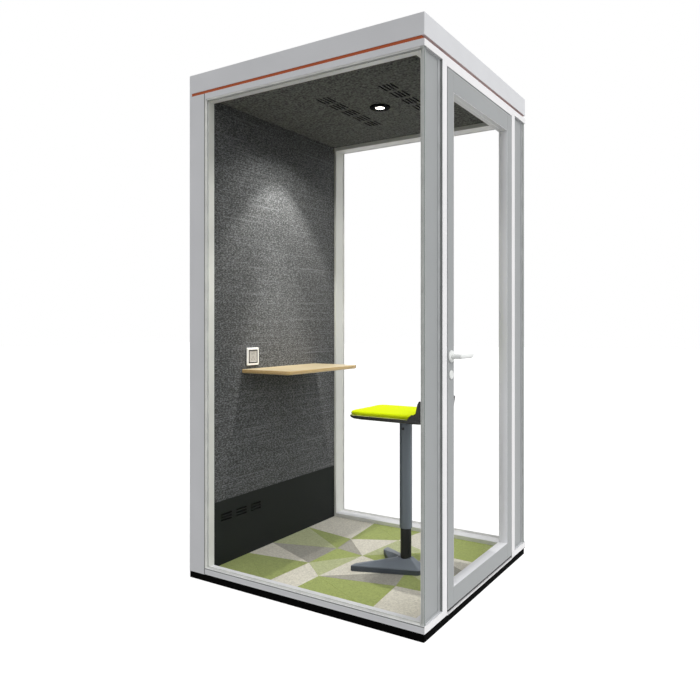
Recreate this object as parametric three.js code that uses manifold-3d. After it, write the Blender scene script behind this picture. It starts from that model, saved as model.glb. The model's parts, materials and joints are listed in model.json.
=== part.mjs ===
// Acoustic office pod for one person: a padded desk wall, three glazed sides, a pivot door, a vented
// ceiling with a fan and a downlight, a wall desk with a socket, and a height-adjustable perch stool.
// Millimetres, +Z up. The door faces +X, the desk wall is at -X and the front pane is at -Y.
// The origin is on the floor, under the middle of the pod.
import * as THREE from 'three';
import { mergeVertices } from 'three/addons/utils/BufferGeometryUtils.js';
import Module from 'manifold-3d';

const wasm = await Module();
wasm.setup();

// Overall size
const WIDTH = 1200;
const DEPTH = 1150;
const HEIGHT = 2300;
const FIT = 0.3;
const WELD = 1e-4;
const THROUGH = 1;
const FACETS = 24;
const FINE_FACETS = 32;
const TUBE_FACETS = 40;
const PIN_FACETS = 16;

// Base
const PLINTH_TOP = 30;
const PLINTH_SETBACK = 3;
const PLINTH_RADIUS = 8;
const FOOT_RADIUS = 25;
const FOOT_STEM_RADIUS = 6;
const FOOT_STEM_LENGTH = 14;
const FOOT_RECESS = 6;
const FOOT_INSET = 90;
const FOOT_EDGE = 2;
const FOOT_FACETS = 20;
const RAIL_HEIGHT = 30;
const SILL_HEIGHT = 6;
const SILL_RAMP = 8;
const DECK_THICK = 5;
const CARPET_THICK = 6;

// Perimeter frame
const FRONT_FRAME = 53;
const BACK_FRAME = 91;
const SIDE_FRAME = 60;
const WALL_POST = 103;
const RETURN_LIP = 7;
const OUTER_RADIUS = 15;

// Roof and ceiling
const ROOF_HEIGHT = 97;
const ROOF_WALL = 45;
const ROOF_TOP = 15;
const ROOF_BEVEL = 2;
const ROOF_DOOR_RADIUS = 3;
const STRIPE_HEIGHT = 13;
const STRIPE_DEPTH = 18;
const STRIPE_RECESS = 1.5;
const STRIPE_DOOR_RECESS = 12;
const STRIPE_START = 20;
const HEADER_HEIGHT = 26;
const CEILING_THICK = 13;
const CEILING_SEAT = 12;
const LIGHT_FROM_CENTRE = 75;
const LIGHT_BEZEL_RADIUS = 49;
const LIGHT_BARREL_RADIUS = 37.7;
const LIGHT_LENS_RADIUS = 22;
const LIGHT_PROUD = 7;
const LIGHT_CAN = 50;
const LIGHT_WALL = 3;
const LENS_THICK = 4;
const LENS_RECESS = 1.5;
const VENT_FROM_LIGHT = 164;
const CEILING_VENT_GROUPS = 5;
const CEILING_VENT_ROWS = 4;
const CEILING_VENT_ROW_PITCH = 19;
const VENT_PITCH = 105;
const VENT_LENGTH = 75;
const VENT_WIDTH = 7;
const ROOF_VENT_ROWS = 5;

// Fan on top of the ceiling
const FAN_SIZE = 120;
const FAN_HEIGHT = 25;
const FAN_CORNER = 8;
const FAN_RIM = 4;
const FAN_TIP_GAP = 1.5;
const FAN_HUB_RADIUS = 19;
const FAN_BLADES = 7;
const FAN_BLADE_THICK = 1.6;
const FAN_BLADE_PITCH = 38;
const FAN_ROTOR_HEIGHT = 17;
const FAN_FLOOR_GAP = 2;
const FAN_STRUT = 6;
const FAN_PIN_RADIUS = 2.5;
const FAN_PIN_LENGTH = 12;

// Desk wall
const WALL_CORE = 78;
const FABRIC_THICK = 20;
const KICK_TOP = 338;
const KICK_VENT_GROUPS = 3;
const KICK_VENT_ROWS = 3;
const KICK_VENT_ROW_PITCH = 14;
const KICK_VENT_TOP = 273;
const KICK_VENT_START = 56;
const KICK_VENT_WIDTH = 6;
const PLENUM_DEPTH = 45;
const PLENUM_MARGIN = 12;

// Desk and socket
const DESK_WIDTH = 600;
const DESK_REACH = 287;
const DESK_TOP = 943;
const DESK_THICK = 19;
const DESK_CORNER = 28;
const DESK_UNDERCUT = 12;
const DESK_UNDERCUT_RISE = 8;
const BRACKET_LENGTH = 520;
const BRACKET_HEIGHT = 56;
const BRACKET_THICK = 8;
const BRACKET_ROD_RADIUS = 6;
const BRACKET_ROD_REACH = 120;
const BRACKET_ROD_SPACING = 400;
const SOCKET_SIZE = 86;
const SOCKET_CORNER = 6;
const SOCKET_EDGE = 2;
const SOCKET_PROUD = 9;
const SOCKET_BOX = 58;
const SOCKET_BOX_WALL = 3;
const SOCKET_BOX_DEPTH = 48;
const SOCKET_MIDDLE_Z = 1003;
const SOCKET_FROM_FRONT = 274;
const SOCKET_MODULE_THICK = 10;
const SOCKET_MODULE_RECESS = 1;
const PIN_SLOT_DEPTH = 6;
const PIN_SLOT_LENGTH = 8;
const PIN_SLOT_WIDTH = 2.2;
// Each pin slot's place from the middle of the module, across and up, and its turn in degrees
const PIN_SLOTS = [[-7, 13, 90], [7, 13, 90], [-8, -13, 60], [8, -13, 120], [0, -3, 90]];

// Fixed glazing
const GLASS_THICK = 10;
const GROOVE_WIDTH = 14;
const GROOVE_DEPTH = 12;
const GLASS_BITE = 9;
const FRONT_LIP = 4;
const SIDE_LIP = 10;
const SEAL_SHOW = 6;
const SEAL_POST_SHOW = 8.5;
const CORNER_INSET = 4;
const CORNER_SEAL = 14;
const POST_SEAL = 20;
const POST_SEAL_GRIP = 8;

// Door
const DOOR_OPENING = 752;
const POST_WIDTH = 42;
const POST_DEPTH = 57;
const POST_WALL = 4;
const POST_RADIUS = 2;
const STOP_WIDTH = 8.5;
const STOP_GAP = 0.5;
const LEAF_GAP = 6;
const LEAF_THICK = 43;
const LEAF_CLEARANCE = 4;
const LEAF_FLOOR_GAP = 7;
const STILE_WIDTH = 57;
const TOP_RAIL = 81;
const BOTTOM_RAIL = 78;
const DOOR_HEADER_DROP = 12;
const DOOR_GLASS_THICK = 8;
const DOOR_GLASS_BITE = 12;
const PIVOT_WALL = 3;
const PIVOT_RADIUS = 6;
const PIVOT_WASHER = 12;
const PIVOT_ENGAGE = 24;
const PIVOT_SEAT = 5;

// Lock and levers
const CASE_BACK_WALL = 3.3;
const FOLLOWER_FROM_CASE_BACK = 13.7;
const LEVER_Z = 1035;
const LOCK_CENTRES = 72;
const CASE_THICK = 16;
const CASE_ABOVE = 50;
const CASE_BELOW = 48;
const BOLT_THICK = 11;
const BOLT_FROM_FOLLOWER = 2;
const LATCH_HEIGHT = 20;
const LATCH_NOSE = 4;
const DEADBOLT_HEIGHT = 26;
const BOLT_REST = 0.5;
const STRIKE_WIDTH = 25;
const STRIKE_THICK = 2;
const STRIKE_MARGIN = 28;
const SPINDLE = 8;
const FOLLOWER_RADIUS = 8;
const ROSE_MARGIN = 4;
const ROSE_THICK = 7;
const ROSE_EDGE = 2.5;
const NECK_RADIUS = 9;
const NECK_LENGTH = 44;
const LEVER_LENGTH = 122;
const LEVER_FACETS = 16;
const CYLINDER_RADIUS = 8.5;
const ESCUTCHEON_RADIUS = 18;
const ESCUTCHEON_THICK = 5;
const ESCUTCHEON_EDGE = 2;
const KEYWAY_HEIGHT = 9;
const KEYWAY_WIDTH = 2.4;
const TURN_DISC = 15;
const TURN_DISC_THICK = 5;
const TURN_GRIP_LENGTH = 28;
const TURN_GRIP_THICK = 7;
const TURN_GRIP_PROUD = 14;
const TURN_GRIP_EDGE = 1;

// Perch stool, measured from its column at the carpet
const STOOL_FROM_DOOR = 348;
const STOOL_FROM_CENTRE = -38;
const STOOL_BASE_TURN = -3;
const TOE_REACH = 199;
const TOE_SPREAD = 160;
const TOE_WIDTH = 40;
const NOTCH_REACH = 86;
const HEEL_REACH = 87;
const HEEL_HALF = 32;
const BASE_BAND = 25;
const BASE_HEIGHT = 63;
const BASE_EDGE = 3;
const BASE_CORNER = 9;
const COLLAR_WALL = 11;
const INNER_TUBE_RADIUS = 25;
const INNER_TUBE_TOP = 500;
const INNER_TUBE_SOCKET = 20;
const OUTER_TUBE_WALL = 3.2;
const OUTER_TUBE_BOTTOM = 194;
const OUTER_TUBE_TOP = 680;
const OUTER_TUBE_PLUG = 22;
const OUTER_TUBE_EDGE = 1;
const FLANGE_RIM = 33.5;
const FLANGE_THICK = 8;
const SWIVEL_PIN_RADIUS = 10;
const SWIVEL_PIN_LENGTH = 10;
const BUTTON_RADIUS = 6;
const BUTTON_PROUD = 3.5;
const BUTTON_EDGE = 1;
const BUTTON_DROP = 33;
const SEAT_LENGTH = 398;
const SEAT_WIDTH = 318;
const SEAT_FRONT_NARROWING = 0.04;
const SEAT_SHIFT = -25;
const SEAT_SQUARENESS = 10;
const SEAT_FACETS = 48;
const SHELL_HEIGHT = 18;
const SHELL_EDGE = 3;
const SHELL_TUCK = 22;
const PAD_THICK = 25;
const PAD_CROWN = 5;
const PAD_EDGE = 6;
const PAD_INSET = 2;
const BACK_LIP_RISE = 58;
const BACK_LIP_THICK = 11;
const BACK_LIP_LEAN = 10;
const BACK_LIP_SPAN = 86.5;
const BACK_LIP_SHELF = 4;
const BACK_LIP_SHELF_ANGLE = 4;
const BACK_LIP_RISE_ANGLES = [11, 20];
const BACK_LIP_ROOT = 8;
const BACK_LIP_STEPS = 40;

// Levels and planes that follow from the sizes above
const X_OUT = WIDTH / 2;
const Y_OUT = DEPTH / 2;
const RAIL_TOP = PLINTH_TOP + RAIL_HEIGHT;
const SILL_TOP = PLINTH_TOP + SILL_HEIGHT;
const CARPET_TOP = PLINTH_TOP + DECK_THICK + CARPET_THICK;
const EAVES = HEIGHT - ROOF_HEIGHT;
const HEADER_BOTTOM = EAVES - HEADER_HEIGHT;
const RETURN_BOTTOM = HEADER_BOTTOM - RETURN_LIP;
const CEILING_BOTTOM = EAVES - CEILING_THICK;
const DOOR_HEADER_BOTTOM = HEADER_BOTTOM - DOOR_HEADER_DROP;
const FRONT_IN = -(Y_OUT - FRONT_FRAME);
const BACK_IN = Y_OUT - BACK_FRAME;
const SIDE_IN = X_OUT - SIDE_FRAME;
const POST_X = -X_OUT + WALL_POST;
const LIP_X = POST_X + RETURN_LIP;
const CORE_X = -X_OUT + WALL_CORE;
const FABRIC_X = CORE_X + FABRIC_THICK;
const CABIN_X = (FABRIC_X + SIDE_IN) / 2;
const CABIN_Y = (FRONT_IN + BACK_IN) / 2;
const DOOR_HALF = DOOR_OPENING / 2;
const POST_OUT = DOOR_HALF + POST_WIDTH;
const LEAF_HALF = DOOR_HALF - LEAF_GAP;
const LEAF_IN = X_OUT - LEAF_THICK;
const LEAF_MID = X_OUT - LEAF_THICK / 2;
const LEAF_BOTTOM = SILL_TOP + LEAF_FLOOR_GAP;
const LEAF_TOP = DOOR_HEADER_BOTTOM - LEAF_CLEARANCE;
const STILE_IN = LEAF_HALF - STILE_WIDTH;
const PIVOT_Y = STILE_IN + PIVOT_WALL + PIVOT_RADIUS;
const CASE_DEPTH = STILE_WIDTH - DOOR_GLASS_BITE - CASE_BACK_WALL;
const LOCK_BACKSET = CASE_DEPTH - FOLLOWER_FROM_CASE_BACK;
const LOCK_Y = -(LEAF_HALF - LOCK_BACKSET);
const ROSE_RADIUS = LOCK_BACKSET - ROSE_MARGIN;
const BOLT_LENGTH = LOCK_BACKSET - FOLLOWER_RADIUS - BOLT_FROM_FOLLOWER;
const CYLINDER_Z = LEVER_Z - LOCK_CENTRES;
const LIGHT_X = CABIN_X + LIGHT_FROM_CENTRE;
const FAN_X = LIGHT_X - VENT_FROM_LIGHT;
const FAN_BORE = FAN_SIZE / 2 - FAN_RIM;
const OUTER_TUBE_RADIUS = INNER_TUBE_RADIUS + FIT + OUTER_TUBE_WALL;
const COLLAR_RADIUS = INNER_TUBE_RADIUS + COLLAR_WALL;
const FLANGE_RADIUS = OUTER_TUBE_RADIUS + FLANGE_RIM;

// Grooves and panes of the fixed glazing, for the front (side = -1) and the back (side = 1)
const PANE_GROOVE_OUT = Y_OUT - FRONT_LIP;
const PANE_GROOVE_IN = PANE_GROOVE_OUT - GROOVE_WIDTH;
const PANE_OUT = PANE_GROOVE_OUT - (GROOVE_WIDTH - GLASS_THICK) / 2;
const PANE_IN = PANE_OUT - GLASS_THICK;
const SIDE_GROOVE_OUT = X_OUT - SIDE_LIP;
const SIDE_GROOVE_IN = SIDE_GROOVE_OUT - GROOVE_WIDTH;
const SIDE_PANEL_OUT = SIDE_GROOVE_OUT - (GROOVE_WIDTH - GLASS_THICK) / 2;
const SIDE_PANEL_IN = SIDE_PANEL_OUT - GLASS_THICK;
const PANE_BOTTOM = RAIL_TOP - GLASS_BITE;
const PANE_TOP = HEADER_BOTTOM + GLASS_BITE;
const PANE_END = X_OUT - CORNER_INSET;
const CORNER_SEAL_OUT = PANE_IN - FIT;
const SIDE_PANEL_START = CORNER_SEAL_OUT - (GROOVE_DEPTH - GLASS_BITE);
const SIDE_PANEL_STOP = POST_OUT + POST_SEAL - POST_SEAL_GRIP;

// Solids

function weld(geometry) {
  const bare = geometry.clone();
  for (const name of Object.keys(bare.attributes)) {
    if (name !== 'position') bare.deleteAttribute(name);
  }
  const merged = mergeVertices(bare, WELD);
  const order = merged.index.array;
  const kept = [];
  for (let i = 0; i < order.length; i += 3) {
    const [a, b, c] = [order[i], order[i + 1], order[i + 2]];
    if (a !== b && b !== c && c !== a) kept.push(a, b, c);
  }
  merged.setIndex(kept);
  return merged;
}

function solid(geometry) {
  const { attributes, index } = weld(geometry);
  const vertProperties = new Float32Array(attributes.position.array);
  const make = (triVerts) => new wasm.Manifold(new wasm.Mesh({ numProp: 3, vertProperties, triVerts }));
  const body = make(new Uint32Array(index.array));
  return body.volume() > 0 ? body : make(new Uint32Array(index.array).reverse());
}

function join(first, ...rest) {
  return rest.reduce((whole, piece) => whole.add(piece), first);
}

function cut(body, ...tools) {
  return tools.reduce((left, tool) => left.subtract(tool), body);
}

function box(xs, ys, zs) {
  const [x0, x1] = [Math.min(...xs), Math.max(...xs)];
  const [y0, y1] = [Math.min(...ys), Math.max(...ys)];
  const [z0, z1] = [Math.min(...zs), Math.max(...zs)];
  const geometry = new THREE.BoxGeometry(x1 - x0, y1 - y0, z1 - z0);
  return solid(geometry.translate((x0 + x1) / 2, (y0 + y1) / 2, (z0 + z1) / 2));
}

const AXES = {
  x: new THREE.Matrix4().makeBasis(
    new THREE.Vector3(0, 1, 0), new THREE.Vector3(0, 0, 1), new THREE.Vector3(1, 0, 0)),
  y: new THREE.Matrix4().makeBasis(
    new THREE.Vector3(1, 0, 0), new THREE.Vector3(0, 0, 1), new THREE.Vector3(0, 1, 0)),
  z: new THREE.Matrix4(),
};

// A flat shape drawn in the two other axes (in x, y, z order) and extruded along one axis.
function prism(shape, axis, from, to, bevel = 0, curveSegments = 6) {
  const low = Math.min(from, to);
  const geometry = new THREE.ExtrudeGeometry(shape, {
    depth: Math.abs(to - from) - 2 * bevel,
    bevelEnabled: bevel > 0,
    bevelSize: bevel,
    bevelOffset: -bevel,
    bevelThickness: bevel,
    bevelSegments: 2,
    curveSegments,
    steps: 1,
  });
  geometry.translate(0, 0, low + bevel);
  return solid(geometry.applyMatrix4(AXES[axis]));
}

// A profile of [radius, height] points turned round an axis through a centre.
function turned(profile, axis, centre, segments = FACETS) {
  const points = profile.map(([radius, height]) => new THREE.Vector2(radius, height));
  const geometry = new THREE.LatheGeometry(points, segments).rotateX(Math.PI / 2);
  geometry.applyMatrix4(AXES[axis]);
  return solid(geometry.translate(...centre));
}

function rod(radius, axis, centre, from, to, segments = FACETS) {
  return turned([[0, from], [radius, from], [radius, to], [0, to]], axis, centre, segments);
}

function polygon(points) {
  return new THREE.Shape(points.map(([u, v]) => new THREE.Vector2(u, v)));
}

// A polygon whose corners are rounded by a radius each, given as [u, v, radius].
function roundedPolygon(corners) {
  const shape = new THREE.Shape();
  const count = corners.length;
  corners.forEach(([u, v, radius], i) => {
    const corner = new THREE.Vector2(u, v);
    const before = new THREE.Vector2(...corners[(i + count - 1) % count].slice(0, 2));
    const after = new THREE.Vector2(...corners[(i + 1) % count].slice(0, 2));
    const start = corner.clone().add(before.sub(corner).setLength(radius));
    const end = corner.clone().add(after.sub(corner).setLength(radius));
    if (i === 0) shape.moveTo(start.x, start.y);
    else shape.lineTo(start.x, start.y);
    if (radius > 0) shape.quadraticCurveTo(u, v, end.x, end.y);
  });
  shape.closePath();
  return shape;
}

function roundedRectangle([u0, u1], [v0, v1], radius) {
  return roundedPolygon([[u0, v0, radius], [u1, v0, radius], [u1, v1, radius], [u0, v1, radius]]);
}

function slotShape(u, v, length, width) {
  const half = length / 2 - width / 2;
  const shape = new THREE.Shape();
  shape.absarc(u + half, v, width / 2, -Math.PI / 2, Math.PI / 2);
  shape.absarc(u - half, v, width / 2, Math.PI / 2, (3 * Math.PI) / 2);
  shape.closePath();
  return shape;
}

// A skin through rings of equal point counts, closed by a fan at each end.
function loft(rings) {
  const count = rings[0].length;
  const middle = (ring) => ring.reduce((sum, p) => sum.add(p), new THREE.Vector3()).divideScalar(count);
  const points = [...rings.flat(), middle(rings[0]), middle(rings[rings.length - 1])];
  const first = rings.length * count;
  const last = first + 1;
  const order = [];
  for (let i = 0; i < count; i += 1) {
    const next = (i + 1) % count;
    for (let r = 0; r + 1 < rings.length; r += 1) {
      const [low, high] = [r * count, (r + 1) * count];
      order.push(low + i, low + next, high + next, low + i, high + next, high + i);
    }
    const top = (rings.length - 1) * count;
    order.push(first, next, i, last, top + i, top + next);
  }
  const geometry = new THREE.BufferGeometry().setFromPoints(points);
  geometry.setIndex(order);
  return solid(geometry);
}

// Finishes

function finish(color, roughness, metalness = 0) {
  return new THREE.MeshStandardMaterial({ color, roughness, metalness });
}

function clear(color, roughness, opacity) {
  return new THREE.MeshStandardMaterial({ color, roughness, transparent: true, opacity });
}

const FINISHES = {
  frame: finish(0xe0e1e3, 0.45),
  whiteFrame: finish(0xf0eff0, 0.45),
  leaf: finish(0xa9a9a9, 0.5),
  fascia: finish(0xd6d7d8, 0.5),
  accent: finish(0xbe5028, 0.55),
  black: finish(0x0e0e10, 0.7),
  seal: finish(0xb8bab7, 0.7),
  fabric: finish(0x46484a, 0.95),
  kick: finish(0x282a27, 0.8),
  ceiling: finish(0x454642, 0.95),
  carpet: finish(0xaab96e, 1),
  deck: finish(0x6d6a64, 0.8),
  wood: finish(0xeed9ac, 0.45),
  whitePlastic: finish(0xf2f2f0, 0.4),
  whiteLever: finish(0xe8e8e8, 0.35),
  lens: finish(0xffffff, 0.3),
  steel: finish(0x9a9da0, 0.35, 1),
  tube: finish(0x586066, 0.45, 0.4),
  castBase: finish(0x62696f, 0.5, 0.3),
  shell: finish(0x1f2123, 0.55),
  pad: finish(0xd9e81a, 0.9),
  glass: clear(0xdfe8e6, 0.05, 0.25),
};

function piece(name, body, material) {
  const { vertProperties, triVerts } = body.getMesh();
  const geometry = new THREE.BufferGeometry();
  geometry.setAttribute('position', new THREE.BufferAttribute(new Float32Array(vertProperties), 3));
  geometry.setIndex(new THREE.BufferAttribute(new Uint32Array(triVerts), 1));
  const mesh = new THREE.Mesh(geometry, material);
  mesh.name = name;
  return mesh;
}

// Base: plinth on four levelling feet, floor deck and carpet

const FOOT_PLACES = [[-1, -1], [1, -1], [1, 1], [-1, 1]]
  .map(([a, b]) => [a * (X_OUT - FOOT_INSET), b * (Y_OUT - FOOT_INSET)]);

function plinth() {
  const half = [X_OUT - PLINTH_SETBACK, Y_OUT - PLINTH_SETBACK];
  const outline = roundedRectangle([-half[0], half[0]], [-half[1], half[1]], PLINTH_RADIUS);
  const stemTop = FOOT_RECESS + FOOT_STEM_LENGTH + FIT;
  const recesses = FOOT_PLACES.map(([x, y]) => turned([
    [0, -FIT], [FOOT_RADIUS + FIT, -FIT], [FOOT_RADIUS + FIT, FOOT_RECESS],
    [FOOT_STEM_RADIUS + FIT, FOOT_RECESS], [FOOT_STEM_RADIUS + FIT, stemTop], [0, stemTop],
  ], 'z', [x, y, 0], FOOT_FACETS));
  return cut(prism(outline, 'z', 0, PLINTH_TOP), ...recesses);
}

function levellingFoot([x, y]) {
  return turned([
    [0, 0], [FOOT_RADIUS - FOOT_EDGE, 0], [FOOT_RADIUS, FOOT_EDGE], [FOOT_RADIUS, FOOT_RECESS - FIT],
    [FOOT_STEM_RADIUS, FOOT_RECESS - FIT], [FOOT_STEM_RADIUS, FOOT_RECESS + FOOT_STEM_LENGTH],
    [0, FOOT_RECESS + FOOT_STEM_LENGTH],
  ], 'z', [x, y, 0], FOOT_FACETS);
}

function floorLayer(from, to) {
  return box([FABRIC_X + FIT, SIDE_IN - FIT], [FRONT_IN + FIT, BACK_IN - FIT], [from, to]);
}

// Frame round the glazing: posts at the desk wall, bottom rails and headers with a groove for the panes

function frameDepth(side) {
  return side < 0 ? FRONT_FRAME : BACK_FRAME;
}

function paneGroove(side, zs) {
  return box([POST_X - GROOVE_DEPTH, PANE_END + FIT], [side * PANE_GROOVE_OUT, side * PANE_GROOVE_IN], zs);
}

function sidePanelGroove(side, zs) {
  return box([SIDE_GROOVE_IN, SIDE_GROOVE_OUT], [side * PANE_GROOVE_OUT, side * POST_OUT], zs);
}

function postLipRoom(side) {
  const ys = [side * (PANE_GROOVE_IN + FIT), side * (Y_OUT - frameDepth(side) - FIT)];
  return box([POST_X - FIT, LIP_X + FIT], ys, [0, HEIGHT]);
}

function wallPost(side) {
  const inner = Y_OUT - frameDepth(side);
  const corners = [
    [POST_X, Y_OUT, 0], [-X_OUT, Y_OUT, OUTER_RADIUS], [-X_OUT, inner, 0], [LIP_X, inner, 0],
    [LIP_X, PANE_GROOVE_IN, 0], [POST_X - GROOVE_DEPTH, PANE_GROOVE_IN, 0],
    [POST_X - GROOVE_DEPTH, PANE_GROOVE_OUT, 0], [POST_X, PANE_GROOVE_OUT, 0],
  ];
  const outline = roundedPolygon(corners.map(([x, y, radius]) => [x, side * y, radius]));
  return prism(outline, 'z', PLINTH_TOP, EAVES);
}

function bottomRail(side) {
  const inner = Y_OUT - frameDepth(side);
  const zs = [PLINTH_TOP, RAIL_TOP];
  const along = box([POST_X, X_OUT], [side * Y_OUT, side * inner], zs);
  const round = box([SIDE_IN, X_OUT], [side * inner, side * DOOR_HALF], zs);
  const groove = [RAIL_TOP - GROOVE_DEPTH, RAIL_TOP + FIT];
  return cut(join(along, round), paneGroove(side, groove), sidePanelGroove(side, groove), postLipRoom(side));
}

function doorSill() {
  const profile = polygon([
    [SIDE_IN, PLINTH_TOP], [X_OUT, PLINTH_TOP], [X_OUT, SILL_TOP - SILL_HEIGHT / 2],
    [X_OUT - SILL_RAMP, SILL_TOP], [SIDE_IN, SILL_TOP],
  ]);
  const pivot = [LEAF_MID, PIVOT_Y, 0];
  const hole = rod(PIVOT_RADIUS + FIT, 'z', pivot, SILL_TOP - PIVOT_SEAT - FIT, SILL_TOP + FIT);
  return cut(prism(profile, 'y', -DOOR_HALF, DOOR_HALF), hole);
}

function ceilingSeat() {
  const xs = [LIP_X - FIT, SIDE_IN + CEILING_SEAT + FIT];
  const ys = [FRONT_IN - CEILING_SEAT - FIT, BACK_IN + CEILING_SEAT + FIT];
  return box(xs, ys, [CEILING_BOTTOM - FIT, EAVES + FIT]);
}

function header(side) {
  const inner = Y_OUT - frameDepth(side);
  const zs = [HEADER_BOTTOM, EAVES];
  const lip = [RETURN_BOTTOM, HEADER_BOTTOM];
  const along = box([POST_X, X_OUT], [side * Y_OUT, side * inner], zs);
  const round = box([SIDE_IN, X_OUT], [side * inner, side * DOOR_HALF], zs);
  const alongLip = box([LIP_X, SIDE_GROOVE_IN], [side * PANE_GROOVE_IN, side * inner], lip);
  const roundLip = box([SIDE_IN, SIDE_GROOVE_IN], [side * inner, side * (POST_OUT + FIT)], lip);
  const groove = [RETURN_BOTTOM - FIT, HEADER_BOTTOM + GROOVE_DEPTH];
  return cut(
    join(along, round, alongLip, roundLip),
    paneGroove(side, groove), sidePanelGroove(side, groove), postLipRoom(side), ceilingSeat(),
  );
}

function doorHeader() {
  const bar = box([SIDE_IN, X_OUT], [-DOOR_HALF, DOOR_HALF], [DOOR_HEADER_BOTTOM, EAVES]);
  const pivot = [LEAF_MID, PIVOT_Y, 0];
  const top = DOOR_HEADER_BOTTOM + PIVOT_SEAT + FIT;
  return cut(bar, ceilingSeat(), rod(PIVOT_RADIUS + FIT, 'z', pivot, DOOR_HEADER_BOTTOM - FIT, top));
}

// Roof: hollow cap with a coloured strip in a groove, vented ceiling, downlight and fan

function stripeOutline(doorRecess, sideRecess, inset, start) {
  const [x, y] = [X_OUT - doorRecess, Y_OUT - sideRecess];
  const [u, v] = [X_OUT - inset, Y_OUT - inset];
  return polygon([[start, -y], [x, -y], [x, y], [start, y], [start, v], [u, v], [u, -v], [start, -v]]);
}

function ventSlots(axis, groups, rows, width, from, to) {
  const slots = [];
  for (const along of groups) {
    for (const across of rows) {
      const shape = axis === 'z'
        ? slotShape(along, -across, VENT_LENGTH, width)
        : slotShape(along, across, VENT_LENGTH, width);
      const slot = prism(shape, axis, from, to, 0, 2);
      slots.push(axis === 'z' ? slot.rotate([0, 0, 90]) : slot);
    }
  }
  return slots;
}

function centred(count, pitch, middle) {
  return Array.from({ length: count }, (_, i) => middle + (i - (count - 1) / 2) * pitch);
}

function roofCap() {
  const outline = roundedPolygon([
    [-X_OUT, -Y_OUT, OUTER_RADIUS], [X_OUT, -Y_OUT, ROOF_DOOR_RADIUS],
    [X_OUT, Y_OUT, ROOF_DOOR_RADIUS], [-X_OUT, Y_OUT, OUTER_RADIUS],
  ]);
  const below = EAVES - 2 * ROOF_BEVEL;
  const lid = cut(
    prism(outline, 'z', below, HEIGHT, ROOF_BEVEL),
    box([-WIDTH, WIDTH], [-DEPTH, DEPTH], [below - ROOF_BEVEL, EAVES]),
  );
  const hollow = box(
    [-X_OUT + ROOF_WALL, X_OUT - ROOF_WALL], [-Y_OUT + ROOF_WALL, Y_OUT - ROOF_WALL],
    [EAVES - FIT, HEIGHT - ROOF_TOP],
  );
  const grooveOutline = stripeOutline(-ROOF_WALL, -ROOF_WALL, STRIPE_DEPTH, -X_OUT + STRIPE_START);
  const groove = prism(grooveOutline, 'z', EAVES - FIT, EAVES + STRIPE_HEIGHT);
  const outlets = ventSlots(
    'z', [CABIN_Y], centred(ROOF_VENT_ROWS, CEILING_VENT_ROW_PITCH, FAN_X), VENT_WIDTH,
    HEIGHT - 2 * ROOF_TOP, HEIGHT + ROOF_TOP);
  return cut(lid, hollow, groove, ...outlets);
}

function accentStrip() {
  const start = -X_OUT + STRIPE_START + FIT;
  const outline = stripeOutline(STRIPE_DOOR_RECESS, STRIPE_RECESS, STRIPE_DEPTH - FIT, start);
  return prism(outline, 'z', EAVES + FIT, EAVES + STRIPE_HEIGHT - FIT);
}

function ceilingPanel() {
  const zs = [CEILING_BOTTOM, EAVES];
  const main = box([LIP_X, SIDE_IN + CEILING_SEAT], [FRONT_IN - CEILING_SEAT, BACK_IN + CEILING_SEAT], zs);
  const tongue = box([CORE_X + FIT, LIP_X + FIT], [FRONT_IN + FIT, BACK_IN - FIT], zs);
  const below = CEILING_BOTTOM - CEILING_THICK;
  const above = EAVES + CEILING_THICK;
  const groups = centred(CEILING_VENT_GROUPS, VENT_PITCH, CABIN_Y);
  const vents = [-1, 1].flatMap((hand) => ventSlots(
    'z', groups, centred(CEILING_VENT_ROWS, CEILING_VENT_ROW_PITCH, LIGHT_X + hand * VENT_FROM_LIGHT),
    VENT_WIDTH, below, above));
  const hole = rod(LIGHT_BARREL_RADIUS + FIT, 'z', [LIGHT_X, CABIN_Y, 0], below, above, FINE_FACETS);
  return cut(join(main, tongue), hole, ...vents);
}

function downlightBezel() {
  const face = CEILING_BOTTOM - LIGHT_PROUD;
  const bore = LIGHT_LENS_RADIUS + FIT;
  const inside = LIGHT_BARREL_RADIUS - LIGHT_WALL;
  const shoulder = face + LENS_RECESS + LENS_THICK + LIGHT_WALL;
  const top = CEILING_BOTTOM + LIGHT_CAN;
  return turned([
    [0, top - LIGHT_WALL], [inside, top - LIGHT_WALL], [inside, shoulder], [bore, shoulder], [bore, face],
    [LIGHT_BEZEL_RADIUS - LIGHT_WALL, face], [LIGHT_BEZEL_RADIUS, face + LIGHT_WALL],
    [LIGHT_BEZEL_RADIUS, CEILING_BOTTOM - FIT], [LIGHT_BARREL_RADIUS, CEILING_BOTTOM - FIT],
    [LIGHT_BARREL_RADIUS, top], [0, top],
  ], 'z', [LIGHT_X, CABIN_Y, 0], FINE_FACETS);
}

function downlightLens() {
  const face = CEILING_BOTTOM - LIGHT_PROUD + LENS_RECESS;
  return rod(LIGHT_LENS_RADIUS, 'z', [LIGHT_X, CABIN_Y, 0], face, face + LENS_THICK, FINE_FACETS);
}

const FAN_BOTTOM = EAVES + FIT;
const FAN_TOP = FAN_BOTTOM + FAN_HEIGHT;
const ROTOR_BOTTOM = FAN_BOTTOM + FAN_FLOOR_GAP;
const ROTOR_TOP = ROTOR_BOTTOM + FAN_ROTOR_HEIGHT;

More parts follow.
